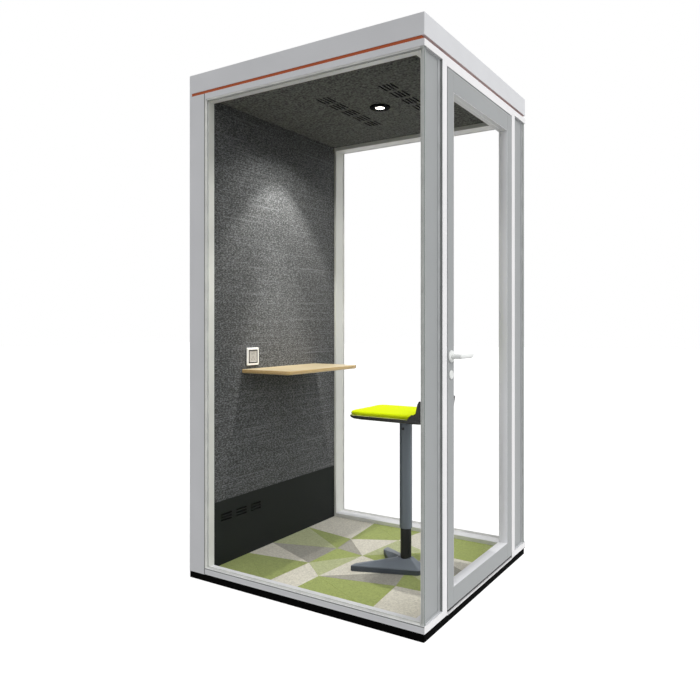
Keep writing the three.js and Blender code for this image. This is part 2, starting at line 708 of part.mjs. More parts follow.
function fanHousing() {
  const half = FAN_SIZE / 2;
  const outline = roundedRectangle([-half, half], [-half, half], FAN_CORNER);
  const ring = cut(prism(outline, 'z', FAN_BOTTOM, FAN_TOP),
    rod(FAN_BORE, 'z', [0, 0, 0], FAN_BOTTOM - THROUGH, FAN_TOP + THROUGH, TUBE_FACETS));
  const webBottom = ROTOR_TOP + FIT;
  const reach = FAN_BORE + THROUGH;
  const struts = [0, 90].map((turn) => box(
    [-reach, reach], [-FAN_STRUT / 2, FAN_STRUT / 2], [webBottom, FAN_TOP]).rotate([0, 0, turn]));
  const seat = rod(FAN_HUB_RADIUS, 'z', [0, 0, 0], webBottom, FAN_TOP);
  const pin = rod(FAN_PIN_RADIUS, 'z', [0, 0, 0], ROTOR_TOP - FAN_PIN_LENGTH, FAN_TOP, PIN_FACETS);
  return join(ring, seat, pin, ...struts).translate([FAN_X, CABIN_Y, 0]);
}

function fanRotor() {
  const hub = rod(FAN_HUB_RADIUS, 'z', [0, 0, 0], ROTOR_BOTTOM, ROTOR_TOP);
  const sweep = rod(FAN_BORE - FAN_TIP_GAP, 'z', [0, 0, 0], ROTOR_BOTTOM, ROTOR_TOP, TUBE_FACETS);
  const mid = (ROTOR_BOTTOM + ROTOR_TOP) / 2;
  const chord = FAN_ROTOR_HEIGHT;
  const blades = centred(FAN_BLADES, 360 / FAN_BLADES, 0).map((turn) => box(
    [FAN_HUB_RADIUS / 2, FAN_BORE], [-chord, chord], [-FAN_BLADE_THICK / 2, FAN_BLADE_THICK / 2])
    .rotate([FAN_BLADE_PITCH, 0, 0]).translate([0, 0, mid]).rotate([0, 0, turn]));
  const bore = rod(FAN_PIN_RADIUS + FIT, 'z', [0, 0, 0],
    ROTOR_TOP - FAN_PIN_LENGTH - FIT, ROTOR_TOP + THROUGH, PIN_FACETS);
  return cut(join(hub, ...blades).intersect(sweep), bore).translate([FAN_X, CABIN_Y, 0]);
}

// Desk wall: sandwich core, fabric panel, kick panel with air slots, desk and socket

const DESK_MID_Z = DESK_TOP - DESK_THICK / 2;
const ROD_PLACES = centred(2, BRACKET_ROD_SPACING, CABIN_Y);
const SOCKET_Y = FRONT_IN + SOCKET_FROM_FRONT;
const WALL_YS = [FRONT_IN + FIT, BACK_IN - FIT];
const KICK_VENT_YS = Array.from(
  { length: KICK_VENT_GROUPS }, (_, i) => FRONT_IN + KICK_VENT_START + VENT_LENGTH / 2 + i * VENT_PITCH);
const KICK_VENT_ZS = Array.from(
  { length: KICK_VENT_ROWS }, (_, i) => KICK_VENT_TOP - i * KICK_VENT_ROW_PITCH);

function bracketPlate(grow) {
  return box(
    [CORE_X - BRACKET_THICK - grow, CORE_X],
    [CABIN_Y - BRACKET_LENGTH / 2 - grow, CABIN_Y + BRACKET_LENGTH / 2 + grow],
    [DESK_MID_Z - BRACKET_HEIGHT / 2 - grow, DESK_MID_Z + BRACKET_HEIGHT / 2 + grow]);
}

function bracketRods(grow) {
  const end = FABRIC_X + BRACKET_ROD_REACH + grow;
  return ROD_PLACES.map((y) => rod(
    BRACKET_ROD_RADIUS + grow, 'x', [0, y, DESK_MID_Z], CORE_X - BRACKET_THICK / 2, end));
}

function socketBox(grow) {
  const half = SOCKET_BOX / 2 + grow;
  return box(
    [FABRIC_X - SOCKET_BOX_DEPTH - grow, FABRIC_X + FIT],
    [SOCKET_Y - half, SOCKET_Y + half], [SOCKET_MIDDLE_Z - half, SOCKET_MIDDLE_Z + half]);
}

function wallCore() {
  const block = box([-X_OUT, CORE_X], WALL_YS, [PLINTH_TOP, EAVES]);
  const plenum = box(
    [CORE_X - PLENUM_DEPTH, CORE_X + FIT],
    [KICK_VENT_YS[0] - VENT_LENGTH / 2 - PLENUM_MARGIN,
      KICK_VENT_YS[KICK_VENT_GROUPS - 1] + VENT_LENGTH / 2 + PLENUM_MARGIN],
    [KICK_VENT_ZS[KICK_VENT_ROWS - 1] - PLENUM_MARGIN, KICK_VENT_TOP + PLENUM_MARGIN]);
  return cut(block, plenum, bracketPlate(FIT), socketBox(FIT));
}

function fabricPanel() {
  const slab = box([CORE_X + FIT, FABRIC_X], WALL_YS, [KICK_TOP, CEILING_BOTTOM - FIT]);
  return cut(slab, socketBox(FIT), ...bracketRods(FIT));
}

function kickPanel() {
  const slab = box([CORE_X + FIT, FABRIC_X], WALL_YS, [PLINTH_TOP, KICK_TOP - FIT]);
  const vents = ventSlots(
    'x', KICK_VENT_YS, KICK_VENT_ZS, KICK_VENT_WIDTH, CORE_X - FABRIC_THICK, FABRIC_X + FABRIC_THICK);
  return cut(slab, ...vents);
}

function deskBracket() {
  return join(bracketPlate(0), ...bracketRods(0));
}

function deskTop() {
  const behind = FABRIC_X - 2 * DESK_UNDERCUT;
  const outer = FABRIC_X + DESK_REACH;
  const [near, far] = [CABIN_Y - DESK_WIDTH / 2, CABIN_Y + DESK_WIDTH / 2];
  const outline = roundedPolygon([
    [behind, near, 0], [outer, near, DESK_CORNER], [outer, far, DESK_CORNER], [behind, far, 0]]);
  const geometry = new THREE.ExtrudeGeometry(outline, {
    depth: DESK_THICK, bevelEnabled: true, bevelSize: DESK_UNDERCUT, bevelOffset: -DESK_UNDERCUT,
    bevelThickness: DESK_UNDERCUT_RISE, bevelSegments: 4, curveSegments: 6, steps: 1,
  });
  const blank = solid(geometry.translate(0, 0, DESK_TOP - DESK_THICK + DESK_UNDERCUT_RISE));
  const room = box([FABRIC_X + FIT, outer], [near, far], [DESK_TOP - DESK_THICK, DESK_TOP]);
  return cut(blank.intersect(room), ...bracketRods(FIT));
}

function socketPlate() {
  const half = SOCKET_SIZE / 2;
  const outline = roundedRectangle(
    [SOCKET_Y - half, SOCKET_Y + half], [SOCKET_MIDDLE_Z - half, SOCKET_MIDDLE_Z + half], SOCKET_CORNER);
  const plate = prism(outline, 'x', FABRIC_X + FIT, FABRIC_X + SOCKET_PROUD, SOCKET_EDGE);
  const mouth = SOCKET_BOX / 2 - SOCKET_BOX_WALL;
  const hollow = box(
    [FABRIC_X - SOCKET_BOX_DEPTH + SOCKET_BOX_WALL, FABRIC_X + SOCKET_SIZE],
    [SOCKET_Y - mouth, SOCKET_Y + mouth], [SOCKET_MIDDLE_Z - mouth, SOCKET_MIDDLE_Z + mouth]);
  return cut(join(plate, socketBox(0)), hollow);
}

function socketModule() {
  const half = SOCKET_BOX / 2 - SOCKET_BOX_WALL - FIT;
  const front = FABRIC_X + SOCKET_PROUD - SOCKET_MODULE_RECESS;
  const block = box(
    [front - SOCKET_MODULE_THICK, front],
    [SOCKET_Y - half, SOCKET_Y + half], [SOCKET_MIDDLE_Z - half, SOCKET_MIDDLE_Z + half]);
  const slots = PIN_SLOTS.map(([y, z, turn]) => prism(
    slotShape(0, 0, PIN_SLOT_LENGTH, PIN_SLOT_WIDTH), 'x', front - PIN_SLOT_DEPTH, front + THROUGH, 0, 3)
    .rotate([turn, 0, 0]).translate([0, SOCKET_Y + y, SOCKET_MIDDLE_Z + z]));
  return cut(block, ...slots);
}

// Fixed panes and their seals

function pane(side, grow) {
  return box(
    [POST_X - GLASS_BITE - grow, PANE_END + grow], [side * (PANE_OUT + grow), side * (PANE_IN - grow)],
    [PANE_BOTTOM - grow, PANE_TOP + grow]);
}

function sidePanel(side, grow) {
  return box(
    [SIDE_PANEL_IN - grow, SIDE_PANEL_OUT + grow],
    [side * (SIDE_PANEL_START + grow), side * (SIDE_PANEL_STOP - grow)],
    [PANE_BOTTOM - grow, PANE_TOP + grow]);
}

// One moulded frame: three runs round the large pane and four round the side panel, met at the corner.
function glazingSeal(side) {
  const outer = [RAIL_TOP - GROOVE_DEPTH + FIT, HEADER_BOTTOM + GROOVE_DEPTH - FIT];
  const window = [RAIL_TOP + SEAL_SHOW, HEADER_BOTTOM - SEAL_SHOW];
  const wide = cut(
    box([POST_X - GROOVE_DEPTH + FIT, PANE_END],
      [side * (PANE_GROOVE_OUT - FIT), side * (PANE_GROOVE_IN + FIT)], outer),
    box([POST_X + SEAL_POST_SHOW, X_OUT], [side * Y_OUT, side * DOOR_HALF], window));
  const narrow = cut(
    box([SIDE_GROOVE_IN + FIT, SIDE_GROOVE_OUT - FIT],
      [side * CORNER_SEAL_OUT, side * (POST_OUT + FIT)], outer),
    box([SIDE_IN, X_OUT], [side * (CORNER_SEAL_OUT - CORNER_SEAL), side * (POST_OUT + POST_SEAL)], window));
  return cut(join(wide, narrow), pane(side, FIT), sidePanel(side, FIT));
}

// Door frame posts and strike

const CASE_ZS = [CYLINDER_Z - CASE_BELOW, LEVER_Z + CASE_ABOVE];
const STRIKE_ZS = [
  CYLINDER_Z - DEADBOLT_HEIGHT / 2 - STRIKE_MARGIN, LEVER_Z + LATCH_HEIGHT / 2 + STRIKE_MARGIN];

function boltWindow(z, height, grow, ys) {
  const half = BOLT_THICK / 2 + grow;
  return box([LEAF_MID - half, LEAF_MID + half], ys, [z - height / 2 - grow, z + height / 2 + grow]);
}

function strikeWindows(grow) {
  const ys = [-DOOR_HALF - 2 * POST_WALL, -DOOR_HALF + FIT];
  return [
    boltWindow(LEVER_Z, LATCH_HEIGHT, grow, ys),
    boltWindow(CYLINDER_Z, DEADBOLT_HEIGHT, grow, ys),
  ];
}

function strike(grow) {
  const half = STRIKE_WIDTH / 2 + grow;
  return box([LEAF_MID - half, LEAF_MID + half], [-DOOR_HALF - STRIKE_THICK - grow, -DOOR_HALF],
    [STRIKE_ZS[0] - grow, STRIKE_ZS[1] + grow]);
}

function doorPost(side) {
  const [inX, outX] = [X_OUT - POST_DEPTH, X_OUT];
  const ys = [side * POST_OUT, side * DOOR_HALF].sort((a, b) => a - b);
  const outline = roundedRectangle([inX, outX], ys, POST_RADIUS);
  outline.holes.push(roundedRectangle(
    [inX + POST_WALL, outX - POST_WALL], [ys[0] + POST_WALL, ys[1] - POST_WALL], POST_RADIUS));
  return prism(outline, 'z', RAIL_TOP + FIT, HEADER_BOTTOM - FIT, 0, 3);
}

function latchPost() {
  const lip = box([X_OUT - POST_DEPTH, LEAF_IN - STOP_GAP], [-DOOR_HALF - POST_WALL, -DOOR_HALF + STOP_WIDTH],
    [RAIL_TOP + FIT, DOOR_HEADER_BOTTOM - FIT]);
  return cut(join(doorPost(-1), lip), strike(FIT), ...strikeWindows(2 * FIT));
}

function strikePlate() {
  return cut(strike(0), ...strikeWindows(FIT));
}

// Door leaf

function leafGlass(grow) {
  const half = DOOR_GLASS_THICK / 2 + grow;
  const reach = STILE_IN + DOOR_GLASS_BITE + grow;
  return box([LEAF_MID - half, LEAF_MID + half], [-reach, reach],
    [LEAF_BOTTOM + BOTTOM_RAIL - DOOR_GLASS_BITE - grow, LEAF_TOP - TOP_RAIL + DOOR_GLASS_BITE + grow]);
}

function stile(side) {
  const ys = [side * LEAF_HALF, side * STILE_IN].sort((a, b) => a - b);
  const outline = roundedRectangle([LEAF_IN, X_OUT], ys, POST_RADIUS / 2);
  return cut(prism(outline, 'z', LEAF_BOTTOM, LEAF_TOP, 0, 2), leafGlass(FIT));
}

function caseBlock(grow) {
  const half = CASE_THICK / 2 + grow;
  return box([LEAF_MID - half, LEAF_MID + half], [-LEAF_HALF, -LEAF_HALF + CASE_DEPTH + grow],
    [CASE_ZS[0] - grow, CASE_ZS[1] + grow]);
}

function latchStile() {
  const through = [LEAF_IN - THROUGH, X_OUT + THROUGH];
  return cut(
    stile(-1), caseBlock(FIT),
    rod(FOLLOWER_RADIUS, 'x', [0, LOCK_Y, LEVER_Z], ...through),
    rod(CYLINDER_RADIUS + FIT, 'x', [0, LOCK_Y, CYLINDER_Z], ...through));
}

function hingeStile() {
  const pivot = [LEAF_MID, PIVOT_Y, 0];
  return cut(
    stile(1),
    rod(PIVOT_RADIUS + FIT, 'z', pivot, LEAF_BOTTOM - THROUGH, LEAF_BOTTOM + PIVOT_ENGAGE + THROUGH),
    rod(PIVOT_RADIUS + FIT, 'z', pivot, LEAF_TOP - PIVOT_ENGAGE - THROUGH, LEAF_TOP + THROUGH));
}

function leafRail(zs) {
  return cut(box([LEAF_IN, X_OUT], [-STILE_IN, STILE_IN], zs), leafGlass(FIT));
}

function pivotPin(seatFace, leafFace) {
  const up = Math.sign(leafFace - seatFace);
  return turned([
    [0, seatFace - up * PIVOT_SEAT], [PIVOT_RADIUS, seatFace - up * PIVOT_SEAT],
    [PIVOT_RADIUS, seatFace + up * FIT], [PIVOT_WASHER, seatFace + up * FIT],
    [PIVOT_WASHER, leafFace - up * FIT], [PIVOT_RADIUS, leafFace - up * FIT],
    [PIVOT_RADIUS, leafFace + up * PIVOT_ENGAGE], [0, leafFace + up * PIVOT_ENGAGE],
  ], 'z', [LEAF_MID, PIVOT_Y, 0]);
}

// Lock: case with a spring latch and a deadbolt, lever handles, key cylinder and thumb turn

const BOLT_BACK = -LEAF_HALF + BOLT_REST + BOLT_LENGTH;

function lockCase() {
  const ys = [-LEAF_HALF - THROUGH, BOLT_BACK + FIT];
  const through = [LEAF_MID - CASE_THICK, LEAF_MID + CASE_THICK];
  return cut(
    caseBlock(0),
    boltWindow(LEVER_Z, LATCH_HEIGHT, FIT, ys),
    boltWindow(CYLINDER_Z, DEADBOLT_HEIGHT, FIT, ys),
    rod(FOLLOWER_RADIUS, 'x', [0, LOCK_Y, LEVER_Z], ...through),
    rod(CYLINDER_RADIUS + FIT, 'x', [0, LOCK_Y, CYLINDER_Z], ...through));
}

function latchBolt() {
  const front = -LEAF_HALF + BOLT_REST;
  const half = BOLT_THICK / 2;
  const outline = polygon([
    [LEAF_MID - half, front], [LEAF_MID + half, front + LATCH_NOSE], [LEAF_MID + half, BOLT_BACK],
    [LEAF_MID - half, BOLT_BACK]]);
  return prism(outline, 'z', LEVER_Z - LATCH_HEIGHT / 2, LEVER_Z + LATCH_HEIGHT / 2);
}

function deadbolt() {
  return boltWindow(CYLINDER_Z, DEADBOLT_HEIGHT, 0, [-LEAF_HALF + BOLT_REST, BOLT_BACK]);
}

function rose(face, outward) {
  const near = face + outward * FIT;
  const mid = face + outward * (ROSE_THICK - ROSE_EDGE);
  const far = face + outward * ROSE_THICK;
  const bore = NECK_RADIUS + FIT;
  return turned([
    [bore, near], [ROSE_RADIUS, near], [ROSE_RADIUS, mid], [ROSE_RADIUS - ROSE_EDGE, far], [bore, far],
    [bore, near],
  ], 'x', [0, LOCK_Y, LEVER_Z], FINE_FACETS);
}

// The lever's arm: oval sections with a slight waist and a fuller, slanted end, each given by its
// share of the arm's length, the height of its middle, and its half height and half thickness.
const LEVER_SECTIONS = [
  [-0.075, 0, 3.5, 3], [-0.055, 0, 7, 5.5], [0, 0, 9, 6.5], [0.1, 0, 8.8, 6.5], [0.3, -0.4, 8.2, 5.8],
  [0.5, -0.5, 8.2, 5.4], [0.7, -0.2, 9.2, 5], [0.86, 0.2, 9.6, 4.6], [0.94, 1.2, 8, 4], [1, 4, 3.5, 2.2],
];

function leverArm(middleX) {
  return loft(LEVER_SECTIONS.map(([share, rise, halfHeight, halfThick]) => (
    Array.from({ length: LEVER_FACETS }, (_, i) => {
      const angle = (i / LEVER_FACETS) * 2 * Math.PI;
      return new THREE.Vector3(
        middleX + halfThick * Math.cos(angle),
        LOCK_Y + share * LEVER_LENGTH,
        LEVER_Z + rise + halfHeight * Math.sin(angle));
    }))));
}

function lever(face, outward) {
  const end = face + outward * NECK_LENGTH;
  const neck = rod(NECK_RADIUS, 'x', [0, LOCK_Y, LEVER_Z], face + outward * FIT, end, FINE_FACETS);
  return join(leverArm(end), neck);
}

function spindle(grow, from, to) {
  const half = SPINDLE / 2 + grow;
  return box([from, to], [LOCK_Y - half, LOCK_Y + half], [LEVER_Z - half, LEVER_Z + half]);
}

function leverOutside() {
  return join(lever(X_OUT, 1), spindle(0, LEAF_IN - NECK_LENGTH / 2, X_OUT + NECK_RADIUS));
}

function leverInside() {
  return cut(lever(LEAF_IN, -1), spindle(FIT, LEAF_IN - NECK_LENGTH / 2 - FIT, X_OUT));
}

function keyCylinder() {
  const face = X_OUT + ESCUTCHEON_THICK;
  const body = turned([
    [0, LEAF_MID + FIT], [CYLINDER_RADIUS, LEAF_MID + FIT], [CYLINDER_RADIUS, X_OUT + FIT],
    [ESCUTCHEON_RADIUS, X_OUT + FIT], [ESCUTCHEON_RADIUS, face - ESCUTCHEON_EDGE],
    [ESCUTCHEON_RADIUS - ESCUTCHEON_EDGE, face], [0, face],
  ], 'x', [0, LOCK_Y, CYLINDER_Z]);
  const keyway = box([face - KEYWAY_HEIGHT, face + THROUGH],
    [LOCK_Y - KEYWAY_WIDTH / 2, LOCK_Y + KEYWAY_WIDTH / 2],
    [CYLINDER_Z - KEYWAY_HEIGHT / 2, CYLINDER_Z + KEYWAY_HEIGHT / 2]);
  return cut(body, keyway);
}

function thumbTurn() {
  const disc = turned([
    [0, LEAF_MID - FIT], [CYLINDER_RADIUS, LEAF_MID - FIT], [CYLINDER_RADIUS, LEAF_IN - FIT],
    [TURN_DISC, LEAF_IN - FIT], [TURN_DISC, LEAF_IN - TURN_DISC_THICK], [0, LEAF_IN - TURN_DISC_THICK],
  ], 'x', [0, LOCK_Y, CYLINDER_Z]);
  const grip = prism(
    slotShape(0, 0, TURN_GRIP_LENGTH, TURN_GRIP_THICK), 'x',
    LEAF_IN - TURN_DISC_THICK - TURN_GRIP_PROUD, LEAF_IN - TURN_DISC_THICK + FIT,
    TURN_GRIP_EDGE, 4)
    .rotate([90, 0, 0]).translate([0, LOCK_Y, CYLINDER_Z]);
  return join(disc, grip);
}

// Perch stool, about its column's axis with zero height at the carpet

function stoolBase() {
  const outline = roundedPolygon([
    [-TOE_REACH, -TOE_SPREAD, BASE_CORNER], [HEEL_REACH, -HEEL_HALF, BASE_CORNER],
    [HEEL_REACH, HEEL_HALF, BASE_CORNER], [-TOE_REACH, TOE_SPREAD, BASE_CORNER],
    [-TOE_REACH, TOE_SPREAD - TOE_WIDTH, BASE_CORNER], [-NOTCH_REACH, 0, BASE_CORNER],
    [-TOE_REACH, TOE_WIDTH - TOE_SPREAD, BASE_CORNER]]).getPoints(3);
  if (outline[0].distanceTo(outline[outline.length - 1]) < WELD) outline.pop();
  const scaled = (inset, z) => outline.map((p) => {
    const q = p.clone().setLength(p.length() - inset);
    return new THREE.Vector3(q.x, q.y, z);
  });
  const collar = (radius, z) => outline.map((p) => {
    const q = p.clone().setLength(radius);
    return new THREE.Vector3(q.x, q.y, z);
  });
  const form = loft([
    scaled(BASE_EDGE, FIT), scaled(0, BASE_EDGE), scaled(0, BASE_BAND - BASE_EDGE),
    scaled(BASE_EDGE, BASE_BAND), collar(COLLAR_RADIUS, BASE_HEIGHT - BASE_EDGE),
    collar(COLLAR_RADIUS - BASE_EDGE, BASE_HEIGHT)]);
  const socketTop = BASE_HEIGHT + THROUGH;
  const socket = rod(INNER_TUBE_RADIUS + FIT, 'z', [0, 0, 0], INNER_TUBE_SOCKET, socketTop, TUBE_FACETS);
  return cut(form.rotate([0, 0, STOOL_BASE_TURN]), socket);
}

function innerTube() {
  return rod(INNER_TUBE_RADIUS, 'z', [0, 0, 0], INNER_TUBE_SOCKET + FIT, INNER_TUBE_TOP, TUBE_FACETS);
}

const FLANGE_TOP = OUTER_TUBE_TOP + FLANGE_THICK;
const SHELL_BOTTOM = FLANGE_TOP + FIT;
const SHELL_TOP = SHELL_BOTTOM + SHELL_HEIGHT;
const PAD_BOTTOM = SHELL_TOP + FIT;
const BUTTON_Z = OUTER_TUBE_TOP - BUTTON_DROP;
const BUTTON_SEAT = OUTER_TUBE_RADIUS - INNER_TUBE_RADIUS;

function outerTube() {
  const bore = INNER_TUBE_RADIUS + FIT;
  const plug = OUTER_TUBE_TOP - OUTER_TUBE_PLUG - BUTTON_DROP;
  const body = turned([
    [bore, OUTER_TUBE_BOTTOM], [OUTER_TUBE_RADIUS - OUTER_TUBE_EDGE, OUTER_TUBE_BOTTOM],
    [OUTER_TUBE_RADIUS, OUTER_TUBE_BOTTOM + OUTER_TUBE_EDGE],
    [OUTER_TUBE_RADIUS, OUTER_TUBE_TOP], [FLANGE_RADIUS, OUTER_TUBE_TOP], [FLANGE_RADIUS, FLANGE_TOP],
    [SWIVEL_PIN_RADIUS, FLANGE_TOP], [SWIVEL_PIN_RADIUS, FLANGE_TOP + SWIVEL_PIN_LENGTH],
    [0, FLANGE_TOP + SWIVEL_PIN_LENGTH], [0, plug], [bore, plug], [bore, OUTER_TUBE_BOTTOM],
  ], 'z', [0, 0, 0], TUBE_FACETS);
  const pocket = rod(BUTTON_RADIUS + FIT, 'y', [0, 0, BUTTON_Z],
    -OUTER_TUBE_RADIUS - THROUGH, -OUTER_TUBE_RADIUS + 2 * BUTTON_SEAT + BUTTON_PROUD);
  return cut(body, pocket);
}

function releaseButton() {
  const face = -OUTER_TUBE_RADIUS - BUTTON_PROUD;
  const back = -OUTER_TUBE_RADIUS + 2 * BUTTON_SEAT;
  return turned([
    [0, face], [BUTTON_RADIUS - BUTTON_EDGE, face], [BUTTON_RADIUS, face + BUTTON_EDGE],
    [BUTTON_RADIUS, back], [0, back],
  ], 'y', [0, 0, BUTTON_Z]);
}

// A point of the seat's outline at an angle from the back (+X), a rounded square narrower at the front.
function seatPoint(angle, inset, z) {
  const power = 2 / SEAT_SQUARENESS;
  const bent = (value) => Math.sign(value) * Math.abs(value) ** power;
  const along = bent(Math.cos(angle));
  const narrowing = 1 - (SEAT_FRONT_NARROWING * (1 - along)) / 2;
  const x = (SEAT_LENGTH / 2 - inset) * along + SEAT_SHIFT;
  const y = (SEAT_WIDTH / 2 - inset) * narrowing * bent(Math.sin(angle));
  return new THREE.Vector3(x, y, z);
}

function seatRing(inset, z) {
  return Array.from({ length: SEAT_FACETS }, (_, i) => seatPoint((i / SEAT_FACETS) * 2 * Math.PI, inset, z));
}

// The low back: a wall on the rear rim that grows from nothing at the sides and leans out.
function backLip(grow) {
  const bottom = SHELL_TOP - BACK_LIP_ROOT;
  const shelf = PAD_THICK - BACK_LIP_SHELF;
  const sections = Array.from({ length: BACK_LIP_STEPS + 1 }, (_, i) => {
    const turn = ((2 * i) / BACK_LIP_STEPS - 1) * BACK_LIP_SPAN;
    const angle = THREE.MathUtils.degToRad(turn);
    const past = BACK_LIP_SPAN - Math.abs(turn);
    const low = THREE.MathUtils.smoothstep(past, 0, BACK_LIP_SHELF_ANGLE);
    const high = THREE.MathUtils.smoothstep(past, ...BACK_LIP_RISE_ANGLES);
    const rise = shelf * low + (BACK_LIP_RISE + BACK_LIP_SHELF) * high;
    const top = SHELL_TOP + SHELL_EDGE + rise + grow;
    const lean = BACK_LIP_LEAN * high;
    const inner = BACK_LIP_THICK + grow;
    return [
      seatPoint(angle, inner, bottom), seatPoint(angle, 0, bottom),
      seatPoint(angle, -lean, top - SHELL_EDGE), seatPoint(angle, SHELL_EDGE - lean, top),
      seatPoint(angle, inner - SHELL_EDGE - lean, top), seatPoint(angle, inner - lean, top - SHELL_EDGE),
    ];
  });
  return loft(sections);
}

function seatShell() {
  const dish = loft([
    seatRing(SHELL_TUCK + SHELL_EDGE, SHELL_BOTTOM),
    seatRing(SHELL_TUCK / 2, SHELL_BOTTOM + SHELL_HEIGHT / 5),
    seatRing(SHELL_TUCK / 6, SHELL_BOTTOM + SHELL_HEIGHT / 2), seatRing(0, SHELL_TOP)]);
  const socket = rod(SWIVEL_PIN_RADIUS + FIT, 'z', [0, 0, 0], SHELL_BOTTOM - THROUGH,
    SHELL_BOTTOM + SWIVEL_PIN_LENGTH + FIT, TUBE_FACETS);
  return cut(join(dish, backLip(0)), socket);
}

// The pad: drawn in at its foot, full at the side and crowned on top, cut back from the low back.
function seatPad() {
  const top = PAD_BOTTOM + PAD_THICK;
  const crown = [0, 0.25, 0.5, 0.75].map((share) => seatRing(
    PAD_INSET + PAD_EDGE + share * (SEAT_WIDTH / 2 - PAD_EDGE), top - PAD_CROWN * (1 - share) ** 2));
  const form = loft([
    seatRing(PAD_INSET + PAD_EDGE / 2, PAD_BOTTOM), seatRing(PAD_INSET, PAD_BOTTOM + PAD_THICK / 4),
    seatRing(PAD_INSET, PAD_BOTTOM + PAD_THICK / 2),
    seatRing(PAD_INSET + PAD_EDGE / 4, top - PAD_CROWN - PAD_EDGE / 2), ...crown]);
  return cut(form, backLip(2 * FIT));
}

// Assembly

const base = [
  piece('plinth', plinth(), FINISHES.black),
  ...FOOT_PLACES.map((place, i) => piece(`levelling_foot_${i + 1}`, levellingFoot(place), FINISHES.black)),
  piece('floor_deck', floorLayer(PLINTH_TOP, CARPET_TOP - CARPET_THICK), FINISHES.deck),
  piece('carpet', floorLayer(CARPET_TOP - CARPET_THICK, CARPET_TOP), FINISHES.carpet),
];

const frame = [
  piece('bottom_rail_front', bottomRail(-1), FINISHES.frame),
  piece('bottom_rail_back', bottomRail(1), FINISHES.frame),
  piece('door_sill', doorSill(), FINISHES.frame),
  piece('wall_post_front', wallPost(-1), FINISHES.frame),
  piece('wall_post_back', wallPost(1), FINISHES.frame),
  piece('header_front', header(-1), FINISHES.frame),
  piece('header_back', header(1), FINISHES.frame),
  piece('header_door', doorHeader(), FINISHES.whiteFrame),
  piece('door_post_latch', latchPost(), FINISHES.whiteFrame),
  piece('door_post_hinge', doorPost(1), FINISHES.whiteFrame),
  piece('strike_plate', strikePlate(), FINISHES.steel),
];

const roof = [
  piece('roof_cap', roofCap(), FINISHES.fascia),
  piece('accent_strip', accentStrip(), FINISHES.accent),
  piece('ceiling_panel', ceilingPanel(), FINISHES.ceiling),
  piece('downlight_bezel', downlightBezel(), FINISHES.black),
  piece('downlight_lens', downlightLens(), FINISHES.lens),
  piece('fan_housing', fanHousing(), FINISHES.black),
  piece('fan_rotor', fanRotor(), FINISHES.black),
];

const deskWall = [
  piece('wall_core', wallCore(), FINISHES.frame),
  piece('wall_fabric_panel', fabricPanel(), FINISHES.fabric),
  piece('kick_panel', kickPanel(), FINISHES.kick),
  piece('desk_bracket', deskBracket(), FINISHES.steel),
  piece('desk_top', deskTop(), FINISHES.wood),
  piece('socket_plate', socketPlate(), FINISHES.whitePlastic),
  piece('socket_module', socketModule(), FINISHES.whitePlastic),
];

const glazing = [
  piece('front_glass', pane(-1, 0), FINISHES.glass),
  piece('back_glass', pane(1, 0), FINISHES.glass),
  piece('side_panel_latch', sidePanel(-1, 0), FINISHES.leaf),
  piece('side_panel_hinge', sidePanel(1, 0), FINISHES.leaf),
  piece('glazing_seal_front', glazingSeal(-1), FINISHES.seal),
  piece('glazing_seal_back', glazingSeal(1), FINISHES.seal),
];

const door = [
  piece('door_stile_latch', latchStile(), FINISHES.leaf),
  piece('door_stile_hinge', hingeStile(), FINISHES.leaf),
  piece('door_rail_top', leafRail([LEAF_TOP - TOP_RAIL, LEAF_TOP]), FINISHES.leaf),
  piece('door_rail_bottom', leafRail([LEAF_BOTTOM, LEAF_BOTTOM + BOTTOM_RAIL]), FINISHES.leaf),
  piece('door_glass', leafGlass(0), FINISHES.glass),
  piece('pivot_pin_bottom', pivotPin(SILL_TOP, LEAF_BOTTOM), FINISHES.steel),
  piece('pivot_pin_top', pivotPin(DOOR_HEADER_BOTTOM, LEAF_TOP), FINISHES.steel),
  piece('lock_case', lockCase(), FINISHES.steel),
  piece('latch_bolt', latchBolt(), FINISHES.steel),
  piece('deadbolt', deadbolt(), FINISHES.steel),
  piece('rose_outside', rose(X_OUT, 1), FINISHES.whiteLever),
  piece('rose_inside', rose(LEAF_IN, -1), FINISHES.whiteLever),
  piece('lever_outside', leverOutside(), FINISHES.whiteLever),
  piece('lever_inside', leverInside(), FINISHES.whiteLever),
  piece('key_cylinder', keyCylinder(), FINISHES.whiteLever),
  piece('thumb_turn', thumbTurn(), FINISHES.whiteLever),
];

const stool = [
  piece('stool_base', stoolBase(), FINISHES.castBase),
  piece('stool_inner_tube', innerTube(), FINISHES.black),
  piece('stool_outer_tube', outerTube(), FINISHES.tube),
  piece('stool_release_button', releaseButton(), FINISHES.black),
  piece('stool_seat_shell', seatShell(), FINISHES.shell),
  piece('stool_seat_pad', seatPad(), FINISHES.pad),
];

function assembly(meshes, place = [0, 0, 0]) {
  const group = new THREE.Group();
  group.position.set(...place);
  group.add(...meshes);
  return group;
}

const pod = new THREE.Group();
pod.name = 'office_pod';
pod.add(
  assembly(base), assembly(frame), assembly(roof), assembly(deskWall), assembly(glazing), assembly(door),
  assembly(stool, [X_OUT - STOOL_FROM_DOOR, CABIN_Y + STOOL_FROM_CENTRE, CARPET_TOP]),
);

export default pod;
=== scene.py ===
"""Looks of a one-person acoustic pod: finishes for its rigid pieces, and its carpet, cushion and fine trim."""

import json
import logging
import math
from collections.abc import Callable, Iterator
from contextlib import contextmanager
from dataclasses import dataclass, field
from enum import Enum

